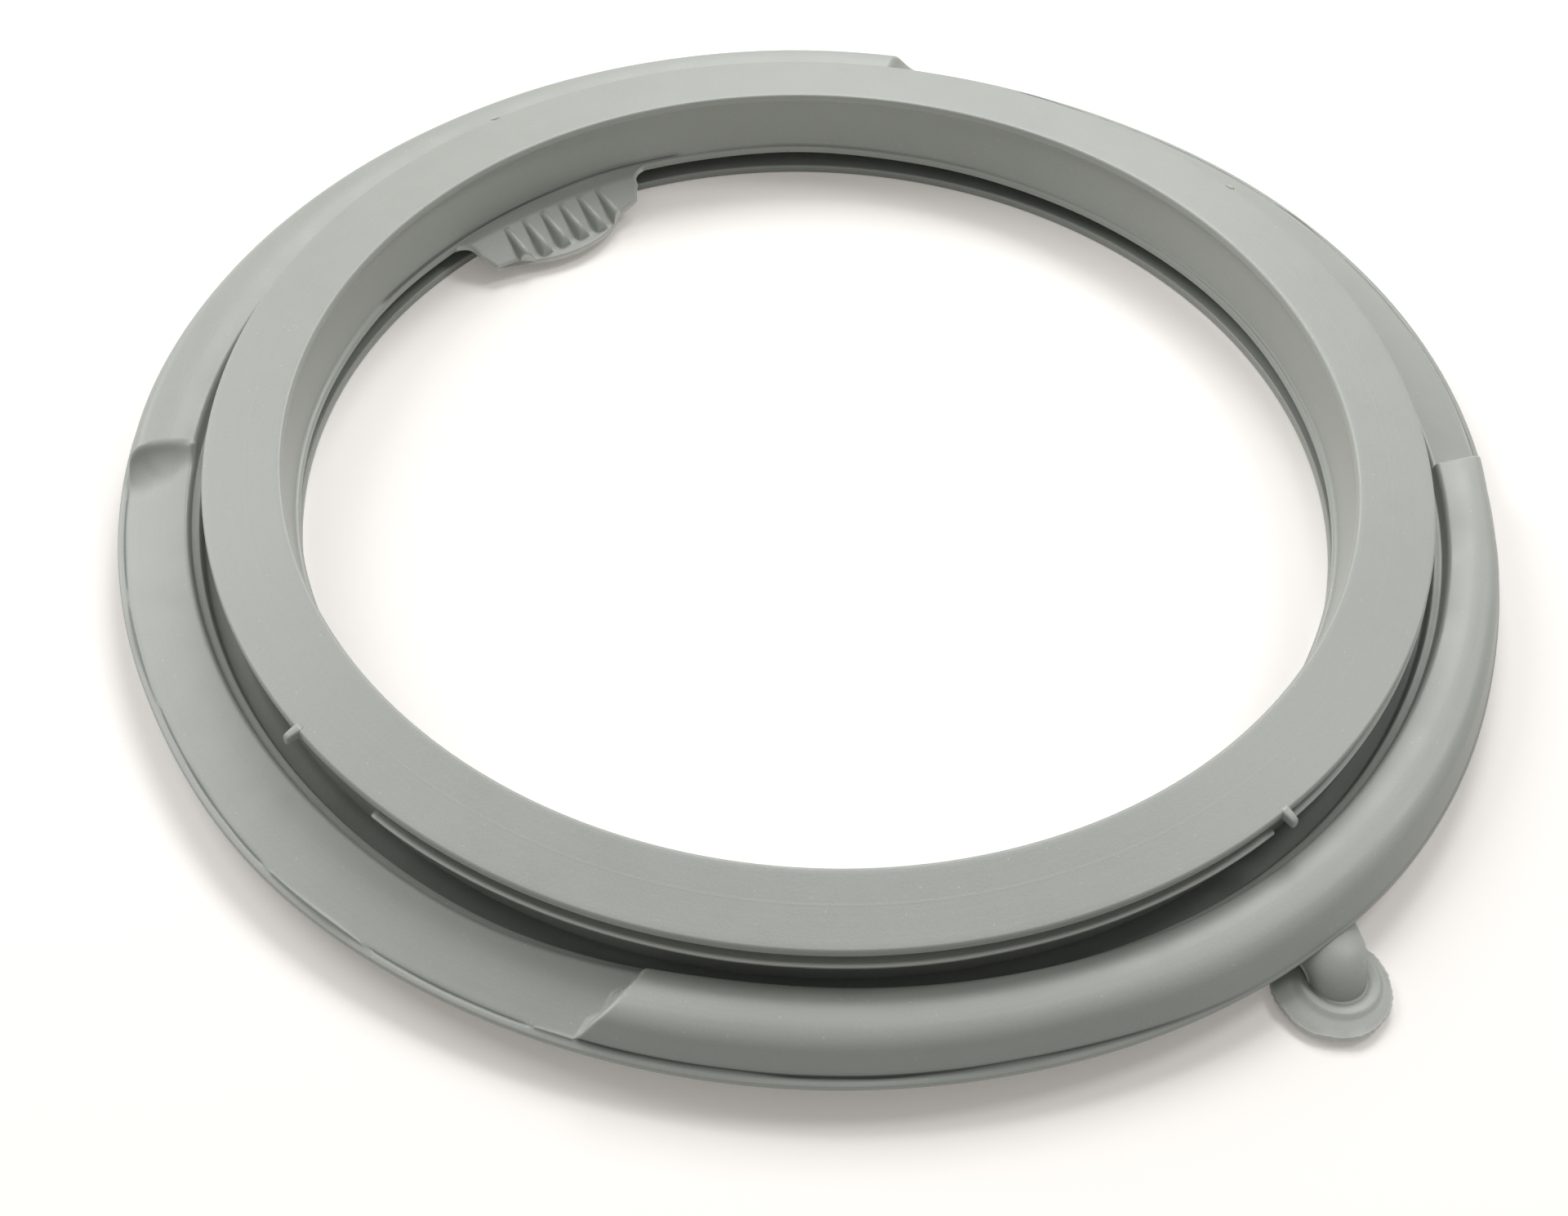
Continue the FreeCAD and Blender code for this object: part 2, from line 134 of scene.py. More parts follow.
class GasketRing(bpy.types.PropertyGroup):
    """Sizes of the front ring, the throat wall, the clamp groove and what stands on them."""

    throat_radius: length("Throat radius", "Clear opening at the bead", 146.1)
    overhang: length("Overhang", "Ring's inner edge outside the bead", 2.3)
    width: length("Width", "Width of the ring's face", 21.6)
    dish: length("Dish", "Fall of the face towards its outer edge", 2.1)
    thickness: length("Thickness", "Thickness of the ring", 2.5)
    wall: length("Wall", "Thickness of the throat wall", 2.2)
    bead_lift: length("Bead lift", "Underside of the bead above the floor", 8.2)
    bead_height: length("Bead height", "Height of the bead", 2.4)
    bead_proud: length("Bead proud", "How far the bead stands inside the throat wall", 1.3)
    groove_depth: length("Groove depth", "Depth of the clamp groove", 3.8)
    groove_width: length("Groove width", "Width of the clamp groove", 3.0)
    neck_wall: length("Neck wall", "Thickness of the neck", 2.8)
    rim_thickness: length("Rim thickness", "Thickness of the rim behind the groove", 1.8)
    rim_proud: length("Rim proud", "How far the rim stands outside the ring", 0.6)
    nub_reach: length("Nub reach", "How far a nub sticks out of the ring", 3.5)
    nub_width: length("Nub width", "Width of a nub at its root", 2.8)
    nub_rise: length("Nub rise", "Top of a nub above the ring's edge", 0.25)


class GasketShell(bpy.types.PropertyGroup):
    """Sizes of the outer shell, its brim and what is behind it."""

    valley_width: length("Valley width", "From the ring to the shell", 6.4)
    valley_floor: length("Valley floor", "Height of the valley's floor", 9.0)
    ledge_rise: length("Ledge rise", "Ledge above the valley's floor", 2.6)
    ledge_width: length("Ledge width", "Width of the ledge", 3.6)
    wall: length("Wall", "Thickness of the shell", 2.6)
    flat_height: length("Flat height", "Height of the flat lengths' inner edge", 14.3)
    brim_height: length("Brim height", "Height of the brim", 9.6)
    brim_thickness: length("Brim thickness", "Thickness of the brim", 1.9)
    brim_width: length("Brim width", "How far the brim stands outside the raised lengths", 1.9)
    crown_height: length("Crown height", "Top of the raised lengths", 18.1)
    crown_inner_height: length("Inner height", "Inner edge of the raised lengths", 16.4)
    shoulder: length("Shoulder", "Rounding of the raised lengths' outer side", 7.0)
    lean: length("Lean", "How far the outer side leans inwards", 4.8)
    cove: length("Cove", "Radius of the coved ends", 11.0)
    chamfer: FloatProperty(
        name="Chamfer", description="Rise over run of the chamfered ends", default=2.2)
    collar_set_back: length("Collar set back", "Rear collar inside the brim's edge", 9.6)
    collar_wall: length("Collar wall", "Thickness of the rear collar", 3.0)
    rear_wall: length("Rear wall", "Thickness of the rear face's wall", 2.8)


class GasketTab(bpy.types.PropertyGroup):
    """Sizes of the ribbed tab. Reaches are counted from the bead's circle."""

    reach: length("Reach", "From the bead to the tip", 21.5)
    ear_reach: length("Ear reach", "Where the tip's bow starts", 15.4)
    corner_reach: length("Corner reach", "From the bead to the corners", 14.6)
    bow: length("Bow", "Half the width of the tip's bow", 19.7)
    half_width: length("Half width", "Half the width at the corners", 27.2)
    waist_reach: length("Waist reach", "Where the sides turn into coves", 8.8)
    waist: length("Waist", "Half the width at the waist", 30.3)
    root: length("Root", "Half the width at the bead", 38.0)
    skew: length("Skew", "How much further one corner reaches than the other", 2.4)
    thickness: length("Thickness", "Thickness of the plate", 2.2)
    ledge: length("Ledge", "Level stretch beside the bead", 5.0)
    border: length("Border", "Level stretch along the tip", 4.2)
    tip_lift: length("Tip lift", "Tip above the floor", 2.5)
    ribs: IntProperty(name="Ribs", description="Number of ribs", default=6, min=1)
    rib_pitch: length("Rib pitch", "Distance between ribs", 6.86)
    rib_width: length("Rib width", "Width of a rib at its foot", 4.0)
    rib_proud: length("Rib proud", "Height of a rib at its lower end", 3.0)


class GasketSpigot(bpy.types.PropertyGroup):
    """Sizes of the drain spigot and its disc."""

    reach: length("Reach", "From the brim's edge to the disc's centre", 7.6)
    shift: length("Shift", "The tube stands this far beside the disc's centre", 2.4)
    slant: FloatProperty(
        name="Slant", description="Angle of the duct to the radius", default=math.radians(24),
        subtype="ANGLE")
    radius: length("Radius", "Outer radius of the tube", 7.1)
    root_width: length("Root width", "Half width of the flattened root", 9.0)
    root_height: length("Root height", "Half height of the flattened root", 3.9)
    elbow_level: length("Elbow level", "Height of the line that the duct bends about", 1.5)
    disc_radius: length("Disc radius", "Radius of the disc", 14.7)
    disc_lift: length("Disc lift", "Underside of the disc above the floor", 1.2)
    disc_thickness: length("Disc thickness", "Thickness of the disc", 1.5)
    fillet: length("Fillet", "Ring of rubber round the tube's foot", 2.0)
    bore: length("Bore", "Radius of the bore", 5.2)
    bore_height: length("Bore height", "Where the bore narrows to the passage", 2.9)
    passage: length("Passage", "Radius of the passage over the bore", 1.9)


class GasketLook(bpy.types.PropertyGroup):
    """Finish of the rubber and strength of the studio's light."""

    rubber: FloatVectorProperty(
        name="Rubber", description="Colour of the rubber", subtype="COLOR", size=3,
        default=(0.355, 0.371, 0.338), min=0, max=1)
    roughness: FloatProperty(
        name="Roughness", description="Roughness of the rubber", default=0.42, min=0, max=1)
    # Colour shared by the real specks and by the painted highlights of the light lines
    dust_and_highlight: FloatVectorProperty(
        name="Dust and highlight", description="Colour of the specks of dust and the fine light lines",
        subtype="COLOR", size=3, default=(0.66, 0.66, 0.62), min=0, max=1)
    key_power: FloatProperty(
        name="Lamps", description="Power of the wide lamps behind and on the left", default=18.0,
        unit="POWER")
    sky: FloatProperty(
        name="Sky light", description="Strength of the even light all round", default=0.27)
    floor: FloatVectorProperty(
        name="Floor", description="Colour of the floor", subtype="COLOR", size=3,
        default=(0.92, 0.90, 0.875), min=0, max=1)


def ramp(value, low, high):
    """0 up to the low value, 1 from the high value on, and an S-curve between them."""
    share = np.clip((value - low) / (high - low), 0, 1)
    return share * share * (3 - 2 * share)


def bell(value, middle, width):
    """1 at the middle, falling off evenly to both sides: exp of minus the square of distance over width."""
    return np.exp(-((value - middle) / width) ** 2)


def from_angle(angles, middle):
    """Degrees from one plan angle to others, the short way round."""
    return (angles - middle + 180) % 360 - 180


def smooth_min(a, b, width):
    """The lesser of two values, with a round of the given width where they cross."""
    overlap = np.clip(0.5 + 0.5 * (b - a) / width, 0, 1)
    return b + (a - b) * overlap - width * overlap * (1 - overlap)


def wander(angles, size, turns, phase):
    """A small even waviness: cosines whose counts of waves share no divisor, each weaker than the last."""
    turn = np.radians(angles)
    waves = [np.cos(count * turn + phase * (i + 1)) / (i + 1) for i, count in enumerate(turns)]
    return size * sum(waves) / 2


def drift_at(table, angles):
    """How far an edge stands outside its circle: a table of drifts, evened out by a bell curve."""
    places, drifts = np.array(table).T
    whole = np.arange(360)
    drift = np.interp(whole, places, drifts, period=360)
    weights = np.exp(-0.5 * (from_angle(whole, 0) / DRIFT_BLUR) ** 2)
    even = np.real(np.fft.ifft(np.fft.fft(drift) * np.fft.fft(weights / weights.sum())))
    return np.interp(angles, whole, even, period=360) * MM


def drifted(radius, angles):
    """Radius after both drifts, which grow from nothing in the valley and pass over into each other."""
    edge = BRIM_RADIUS - DRIFT_EDGE
    valley = edge - DRIFT_START
    inner = ramp(radius, valley, edge)
    outer = ramp(radius, edge, BRIM_RADIUS)
    inner_drift = inner * (1 - outer) * drift_at(INNER_DRIFT, angles)
    return radius + inner_drift + outer * drift_at(BRIM_DRIFT, angles)


def section(corners):
    """Closed section as an array of (radius, height) points.

    A corner is (radius, height, rounding, arc points, side points). Each corner becomes an arc tangent to
    its two sides, and the side that follows it is divided evenly.
    """
    spots = np.array([corner[:2] for corner in corners])
    back = np.roll(spots, 1, axis=0) - spots
    ahead = np.roll(spots, -1, axis=0) - spots
    back_length = np.linalg.norm(back, axis=1)
    ahead_length = np.linalg.norm(ahead, axis=1)
    back = back / back_length[:, None]
    ahead = ahead / ahead_length[:, None]
    half = np.arccos(np.clip((back * ahead).sum(1), -1, 1)) / 2
    rounding = np.array([corner[2] for corner in corners])
    cut = np.minimum(rounding / np.tan(half), 0.48 * np.minimum(back_length, ahead_length))
    bisector = back + ahead
    bisector = bisector / np.linalg.norm(bisector, axis=1)[:, None]
    across = ahead - (ahead * bisector).sum(1)[:, None] * bisector
    across = across / np.linalg.norm(across, axis=1)[:, None]
    radius = cut * np.tan(half)
    centres = spots + bisector * (radius / np.sin(half))[:, None]
    starts = spots + back * cut[:, None]
    ends = spots + ahead * cut[:, None]
    points = []
    for i, corner in enumerate(corners):
        sweep = (math.pi / 2 - half[i]) * np.linspace(-1, 1, corner[3])[:, None]
        points.append(centres[i] + radius[i] * (across[i] * np.sin(sweep) - bisector[i] * np.cos(sweep)))
        share = np.linspace(0, 1, corner[4] + 2)[1:-1, None]
        points.append(ends[i] + (starts[(i + 1) % len(corners)] - ends[i]) * share)
    return np.concatenate(points)


def polar(radius, angle, height):
    """Points at a radius, a plan angle in degrees and a height, as arrays with x, y and z last."""
    turn = np.radians(angle)
    return np.stack(np.broadcast_arrays(radius * np.cos(turn), radius * np.sin(turn), height), axis=-1)


def facing(angle):
    """Level unit vectors outwards and sideways at a plan angle."""
    out = polar(1.0, angle, 0.0)
    return out, np.cross(UP, out)


def grid_faces(rows, columns, closed_rows):
    """Quads between neighbours of a grid whose columns close on themselves."""
    row = np.arange(rows if closed_rows else rows - 1)[:, None]
    column = np.arange(columns)[None, :]
    row_next = (row + 1) % rows
    column_next = (column + 1) % columns
    corners = [row * columns + column, row * columns + column_next,
               row_next * columns + column_next, row_next * columns + column]
    return np.stack(corners, axis=-1).reshape(-1, 4)


def surface(name, spots, closed_rows=False, lines=None):
    """Object whose mesh is a grid of points with the shape (rows, columns, 3).

    The columns close on themselves. Open rows are closed by one face over each end. The faces point
    outwards: they are turned where the volume inside them comes out negative. lines has a number for each
    point, above 0 for a painted highlight and below 0 for painted shade in a crease or hollow.
    """
    rows, columns = spots.shape[:2]
    faces = grid_faces(rows, columns, closed_rows)
    points = spots.reshape(-1, 3)
    middle = points - points.mean(axis=0)
    a, b, c, d = (middle[faces[:, k]] for k in range(4))
    volume = (np.einsum("ij,ij->i", a, np.cross(b, c)) + np.einsum("ij,ij->i", a, np.cross(c, d))).sum()
    loops = faces.tolist()
    if not closed_rows:
        loops.append(list(range(columns - 1, -1, -1)))
        loops.append(list(range((rows - 1) * columns, rows * columns)))
    if volume < 0:
        loops = [loop[::-1] for loop in loops]
    mesh = bpy.data.meshes.new(name)
    mesh.from_pydata(points.tolist(), [], loops)
    mesh.polygons.foreach_set("use_smooth", np.ones(len(mesh.polygons), dtype=bool))
    if lines is not None:
        values = mesh.attributes.new("painted_light_and_shade", "FLOAT", "POINT")
        values.data.foreach_set("value", np.broadcast_to(lines, spots.shape[:2]).ravel().astype(np.float32))
    mesh.update()
    piece = bpy.data.objects.new(name, mesh)
    bpy.context.collection.objects.link(piece)
    return piece


def dress(piece):
    """Give a piece of the moulding its rubber and its body, and hide the CAD node that it stands for."""
    piece.data.materials.append(rubber_material())
    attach(piece, "root")
    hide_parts(NODE)


def add_node(tree, kind, values=(), **settings):
    """Add a shader node, with its settings and the values of its inputs by name or number."""
    node = tree.nodes.new(kind)
    for key, value in settings.items():
        setattr(node, key, value)
    for key, value in dict(values).items():
        if isinstance(value, bpy.types.NodeSocket):
            tree.links.new(value, node.inputs[key])
        else:
            node.inputs[key].default_value = value
    return node


def math_node(tree, operation, a, b=0.0, c=0.0):
    """Output of a Math node for two or three numbers or sockets."""
    return add_node(tree, "ShaderNodeMath", {0: a, 1: b, 2: c}, operation=operation).outputs[0]


def noise(tree, place, scale, detail, roughness):
    """Output of a noise texture less a half, at a scale in waves to the metre: about 0 on average."""
    values = {"Vector": place, "Scale": scale, "Detail": detail, "Roughness": roughness}
    return math_node(tree, "SUBTRACT", add_node(tree, "ShaderNodeTexNoise", values).outputs[0], 0.5)


def band(tree, value, middle, half_width):
    """1 where a value is at the middle, falling to 0 at the half width on either side."""
    away = math_node(tree, "ABSOLUTE", math_node(tree, "SUBTRACT", value, middle))
    share = math_node(tree, "DIVIDE", away, half_width)
    clear = add_node(tree, "ShaderNodeMath", {0: 1.0, 1: share}, operation="SUBTRACT", use_clamp=True)
    return clear.outputs[0]


def moulded_surface_group():
    """Node group of the rubber's surface: cloudy tone, grain, specks of dust and turned moulding lines.

    Lines above 0 are painted highlights, which lighten the rubber towards the specks' colour; lines below 0
    are painted shade, which darkens it.
    """
    name = "moulded rubber surface"
    if name in bpy.data.node_groups:
        return bpy.data.node_groups[name]
    group = bpy.data.node_groups.new(name, "ShaderNodeTree")
    sockets = (
        ("Place", "INPUT", "NodeSocketVector"), ("Rubber", "INPUT", "NodeSocketColor"),
        ("Dust and highlight", "INPUT", "NodeSocketColor"), ("Cloud", "INPUT", "NodeSocketFloat"),
        ("Grain", "INPUT", "NodeSocketFloat"), ("Roughness", "INPUT", "NodeSocketFloat"),
        ("Lines", "INPUT", "NodeSocketFloat"),
        ("Colour", "OUTPUT", "NodeSocketColor"), ("Roughness", "OUTPUT", "NodeSocketFloat"),
        ("Height", "OUTPUT", "NodeSocketFloat"),
    )
    for socket, way, kind in sockets:
        group.interface.new_socket(name=socket, in_out=way, socket_type=kind)
    given = group.nodes.new("NodeGroupInput")
    place = given.outputs["Place"]

    cloud = noise(group, place, *CLOUD_NOISE)
    patch = noise(group, place, *PATCH_NOISE)
    grain = noise(group, place, *GRAIN_NOISE)
    tone = math_node(group, "MULTIPLY", math_node(group, "MULTIPLY_ADD", patch, 0.6, cloud),
                     given.outputs["Cloud"])
    tone = math_node(group, "MULTIPLY_ADD", grain, given.outputs["Grain"], tone)

    flat = add_node(group, "ShaderNodeVectorMath", {0: place, 1: (1.0, 1.0, 0.0)}, operation="MULTIPLY")
    radius = add_node(group, "ShaderNodeVectorMath", {0: flat.outputs[0]}, operation="LENGTH")
    radius = radius.outputs["Value"]
    turned = add_node(group, "ShaderNodeTexNoise", {"W": radius, "Scale": TURNED_WAVES, "Detail": 2.0},
                      noise_dimensions="1D").outputs[0]
    lines = math_node(group, "SUBTRACT", turned, 0.5)
    tone = math_node(group, "MULTIPLY_ADD", lines, 0.035, tone)
    face_line = band(group, radius, FACE_LINE_RADIUS, FACE_LINE_WIDTH)
    tone = math_node(group, "MULTIPLY_ADD", face_line, 0.010, tone)
    tone = math_node(group, "ADD", tone, 1.0)
    toned = add_node(group, "ShaderNodeVectorMath", {0: given.outputs["Rubber"], "Scale": tone},
                     operation="SCALE").outputs[0]

    cells = add_node(group, "ShaderNodeTexVoronoi", {"Vector": place, "Scale": SPECK_CELLS})
    near = add_node(group, "ShaderNodeMapRange",
                    {0: cells.outputs["Distance"], 1: 0.13, 2: 0.07, 3: 0.0, 4: 1.0}).outputs[0]
    chosen = add_node(group, "ShaderNodeSeparateColor", {0: cells.outputs["Color"]}).outputs[0]
    chosen = math_node(group, "GREATER_THAN", chosen, SPECK_CHOICE)
    specks = math_node(group, "MULTIPLY", math_node(group, "MULTIPLY", near, chosen), 0.35)
    # Painted highlight: lines above 0 mix the rubber towards the specks' colour
    light = math_node(group, "MULTIPLY", math_node(group, "MAXIMUM", given.outputs["Lines"], 0.0), 0.85)
    # Real specks and painted highlights share one mix
    dust_and_highlights = math_node(group, "MAXIMUM", specks, light)
    mixed = add_node(group, "ShaderNodeMix", {0: dust_and_highlights, 6: toned, 7: given.outputs["Dust and highlight"]},
                     data_type="RGBA").outputs[2]
    # Painted shade: lines below 0 darken the rubber
    crease = math_node(group, "MAXIMUM", math_node(group, "MULTIPLY", given.outputs["Lines"], -1.0), 0.0)
    clear = math_node(group, "MULTIPLY_ADD", crease, -0.85, 1.0)
    mixed = add_node(group, "ShaderNodeVectorMath", {0: mixed, "Scale": clear}, operation="SCALE").outputs[0]

    dull = math_node(group, "MULTIPLY_ADD", patch, 0.22, given.outputs["Roughness"])
    dull = math_node(group, "MULTIPLY_ADD", grain, 0.10, dull)
    height = math_node(group, "MULTIPLY_ADD", patch, 0.5, math_node(group, "MULTIPLY", grain, 0.35))
    height = math_node(group, "MULTIPLY_ADD", lines, 0.12, height)
    height = math_node(group, "MULTIPLY_ADD", face_line, 0.15, height)
    height = math_node(group, "MULTIPLY_ADD", specks, 0.3, height)

    shown = group.nodes.new("NodeGroupOutput")
    group.links.new(mixed, shown.inputs["Colour"])
    group.links.new(dull, shown.inputs["Roughness"])
    group.links.new(height, shown.inputs["Height"])
    return group


def rubber_material():
    """Matt grey moulded rubber, with its pattern on Object coordinates."""
    name = "grey moulded rubber"
    if name in bpy.data.materials:
        return bpy.data.materials[name]
    look = bpy.context.scene.gasket_look
    material = bpy.data.materials.new(name)
    material.use_nodes = True
    tree = material.node_tree
    shader = tree.nodes["Principled BSDF"]
    place = tree.nodes.new("ShaderNodeTexCoord").outputs["Object"]
    marks = add_node(tree, "ShaderNodeGroup", node_tree=moulded_surface_group())
    tree.links.new(place, marks.inputs["Place"])
    # The attribute holds painted highlights above 0 and painted shade below 0
    lines = add_node(tree, "ShaderNodeAttribute", attribute_name="painted_light_and_shade")
    tree.links.new(lines.outputs["Fac"], marks.inputs["Lines"])
    marks.inputs["Rubber"].default_value = (*look.rubber, 1)
    marks.inputs["Dust and highlight"].default_value = (*look.dust_and_highlight, 1)
    marks.inputs["Cloud"].default_value = 0.16
    marks.inputs["Grain"].default_value = 0.14
    marks.inputs["Roughness"].default_value = look.roughness
    bump = add_node(tree, "ShaderNodeBump", {"Strength": 0.30, "Distance": 0.35 * MM,
                                             "Height": marks.outputs["Height"]})
    tree.links.new(marks.outputs["Colour"], shader.inputs["Base Color"])
    tree.links.new(marks.outputs["Roughness"], shader.inputs["Roughness"])
    tree.links.new(bump.outputs["Normal"], shader.inputs["Normal"])
    shader.inputs["Specular IOR Level"].default_value = 0.5
    shader.inputs["Sheen Weight"].default_value = 0.06
    return material


def ring_outer(ring):
    """Radius of the front ring's outer edge."""
    return ring.throat_radius + ring.overhang + ring.width


def neck_outer(ring):
    """Radius of the clamp groove's floor, which is the neck's outer side."""
    return ring_outer(ring) - ring.groove_depth


def ring_section(ring):
    """Section of the ring, the throat wall with its bead, and the neck down into the valley's floor."""
    inner = ring.throat_radius + ring.overhang
    outer = ring_outer(ring)
    top = RING_TOP
    edge = top - ring.dish
    under = edge - ring.thickness
    throat_top = top - ring.thickness
    neck = neck_outer(ring)
    foot = 7.6 * MM
    wall_top = inner + 2.2 * MM
    wall_foot = ring.throat_radius + ring.bead_proud
    bead_top = ring.bead_lift + ring.bead_height
    return section([
        (inner, top, 0.9 * MM, 7, 14),
        (outer, edge, 0.7 * MM, 7, 2),
        (outer, under, 0.5 * MM, 5, 2),
        (neck, under, 0.7 * MM, 5, 7),
        (neck, foot, 0.3 * MM, 2, 1),
        (neck - ring.neck_wall, foot, 0.3 * MM, 2, 6),
        (neck - ring.neck_wall, under, 1.2 * MM, 4, 3),
        (wall_top + ring.wall, throat_top - 0.4 * MM, 1.2 * MM, 4, 6),
        (wall_foot + ring.wall, ring.bead_lift, 0.5 * MM, 4, 2),
        (ring.throat_radius, ring.bead_lift, 0.55 * MM, 5, 1),
        (ring.throat_radius, bead_top, 0.6 * MM, 5, 1),
        (wall_foot, bead_top + 0.3 * MM, 0.8 * MM, 9, 9),
        (wall_top, throat_top, 1.1 * MM, 6, 1),
        (inner, throat_top, 0.5 * MM, 4, 1),
    ])


def flat_height(shell, radius):
    """Height of the flat lengths' surface at a radius: a straight fall from the valley to the brim."""
    start = BRIM_RADIUS - shell_width(shell)
    share = (radius - start) / shell_width(shell)
    return shell.flat_height + share * (shell.brim_height - shell.flat_height)


def shell_width(shell):
    """From the shell's inner edge to the brim's edge."""
    ring = bpy.context.scene.gasket_ring
    return BRIM_RADIUS - ring_outer(ring) - shell.valley_width


def shell_section(shell, raised, lean=0.0):
    """Section of the valley, the shell, the brim, the collar and the rear wall.

    The lean moves the top of the raised length's outer side inwards, and the crown with it. All sections
    have the same number of points, so that one can pass into the other.
    """
    ring = bpy.context.scene.gasket_ring
    start = BRIM_RADIUS - shell_width(shell)
    side = BRIM_RADIUS - shell.brim_width
    crown = start + CROWN_SHARE * (side - start) - CROWN_LEAN * lean
    ledge_inner = start - shell.ledge_width
    ledge = shell.valley_floor + shell.ledge_rise
    neck = neck_outer(ring)
    collar = BRIM_RADIUS - shell.collar_set_back
    collar_inner = collar - shell.collar_wall
    under = shell.brim_height - shell.brim_thickness
    rear = ring.throat_radius + 0.6 * MM
    hollow_top = flat_height(shell, start + shell.wall) - shell.wall
    if raised:
        top = [
            (start, shell.crown_inner_height, 1.6 * MM, 7, 3),
            (crown, shell.crown_height, 30 * MM, 5, 3),
            (side - lean, shell.crown_height - 0.3 * MM, shell.shoulder, 15, 7),
            (side, flat_height(shell, side), 0.35 * MM, 4, 1),
        ]
    else:
        top = [
            (start, shell.flat_height, 1.3 * MM, 7, 3),
            (start + 5.0 * MM, flat_height(shell, start + 5.0 * MM) + 0.10 * MM, 120 * MM, 5, 3),
            (start + 11.0 * MM, flat_height(shell, start + 11.0 * MM) + 0.10 * MM, 120 * MM, 15, 7),
            (side, flat_height(shell, side), 0.3 * MM, 4, 1),
        ]
    return section([
        (neck - 1.4 * MM, shell.valley_floor, 0.3 * MM, 2, 1),
        (ledge_inner, shell.valley_floor, 0.7 * MM, 4, 1),
        (ledge_inner + 0.9 * MM, ledge, 0.5 * MM, 5, 1),
        (start - 0.4 * MM, ledge + 0.1 * MM, 0.35 * MM, 4, 2),
        *top,
        (BRIM_RADIUS, shell.brim_height, 0.45 * MM, 4, 0),
        (BRIM_RADIUS - 0.1 * MM, under, 0.45 * MM, 4, 2),
        (collar, under, 0.8 * MM, 3, 2),
        (collar, 0, 0.8 * MM, 4, 8),
        (rear, 0, 0.6 * MM, 4, 0),
        (rear, shell.rear_wall, 0.6 * MM, 4, 8),
        (collar_inner, shell.rear_wall, 1.2 * MM, 3, 1),
        (collar_inner, flat_height(shell, collar_inner) - shell.wall, 1.2 * MM, 3, 1),
        (start + shell.wall, hollow_top, 0.8 * MM, 3, 2),
        (neck - 1.4 * MM, shell.valley_floor - shell.wall, 0.3 * MM, 2, 0),
    ])


def shell_angles():
    """Plan angles of the shell's columns: coarse all round, fine across the raised lengths' ends."""
    coarse = np.arange(0, 360, COARSE_STEP)
    fine = []
    for inner, outer, side, _ in RAISED_ENDS:
        before, after = (FINE_OUTSIDE, FINE_INSIDE) if side > 0 else (FINE_INSIDE, FINE_OUTSIDE)
        low = min(inner, outer) - before
        high = max(inner, outer) + after
        fine.append(np.arange(low, high, FINE_STEP))
        coarse = coarse[(coarse < low - FINE_GAP) | (coarse > high + FINE_GAP)]
    return np.sort(np.concatenate([coarse, *fine]))


def end_height(shell, radius, angles):
    """How high the slanted ends let the shell rise over its flat surface.

    The distance from an end's foot line, counted into the raised length, gives the rise: a quarter circle
    that starts level in a cove, and a straight slope in a chamfer. Far from the ends, and within a
    raised length, there is no limit.
    """
    start = BRIM_RADIUS - shell_width(shell)
    rise = np.full(np.broadcast(radius, angles).shape, np.inf)
    spots = polar(radius, angles, 0.0)[..., :2]
    for inner_angle, outer_angle, side, form in RAISED_ENDS:
        inner = polar(start, inner_angle, 0.0)[:2]
        outer = polar(BRIM_RADIUS, outer_angle, 0.0)[:2]
        along = (outer - inner) / np.linalg.norm(outer - inner)
        inwards = np.array([-along[1], along[0]]) * side
        depth = (spots - inner) @ inwards
        middle = (inner_angle + outer_angle) / 2
        near = np.abs(from_angle(angles, middle)) < END_REACH
        if form == "cove":
            steepest = 0.999 * shell.cove
            end = shell.cove - np.sqrt(shell.cove ** 2 - np.clip(depth, 0, steepest) ** 2)
            end = np.where(depth > steepest, np.inf, end)
        else:
            end = np.clip(depth, 0, None) * shell.chamfer
        rise = np.where(near, np.minimum(rise, end), rise)
    return rise


def on_flat_length(angles):
    """True at the plan angles that lie between two raised lengths."""
    first, second, third, fourth = (end[0] for end in RAISED_ENDS)
    upper = (angles > first - END_SPARE) & (angles < second + END_SPARE)
    lower = (angles > third - END_SPARE) & (angles < fourth + END_SPARE)
    return ~(upper | lower)


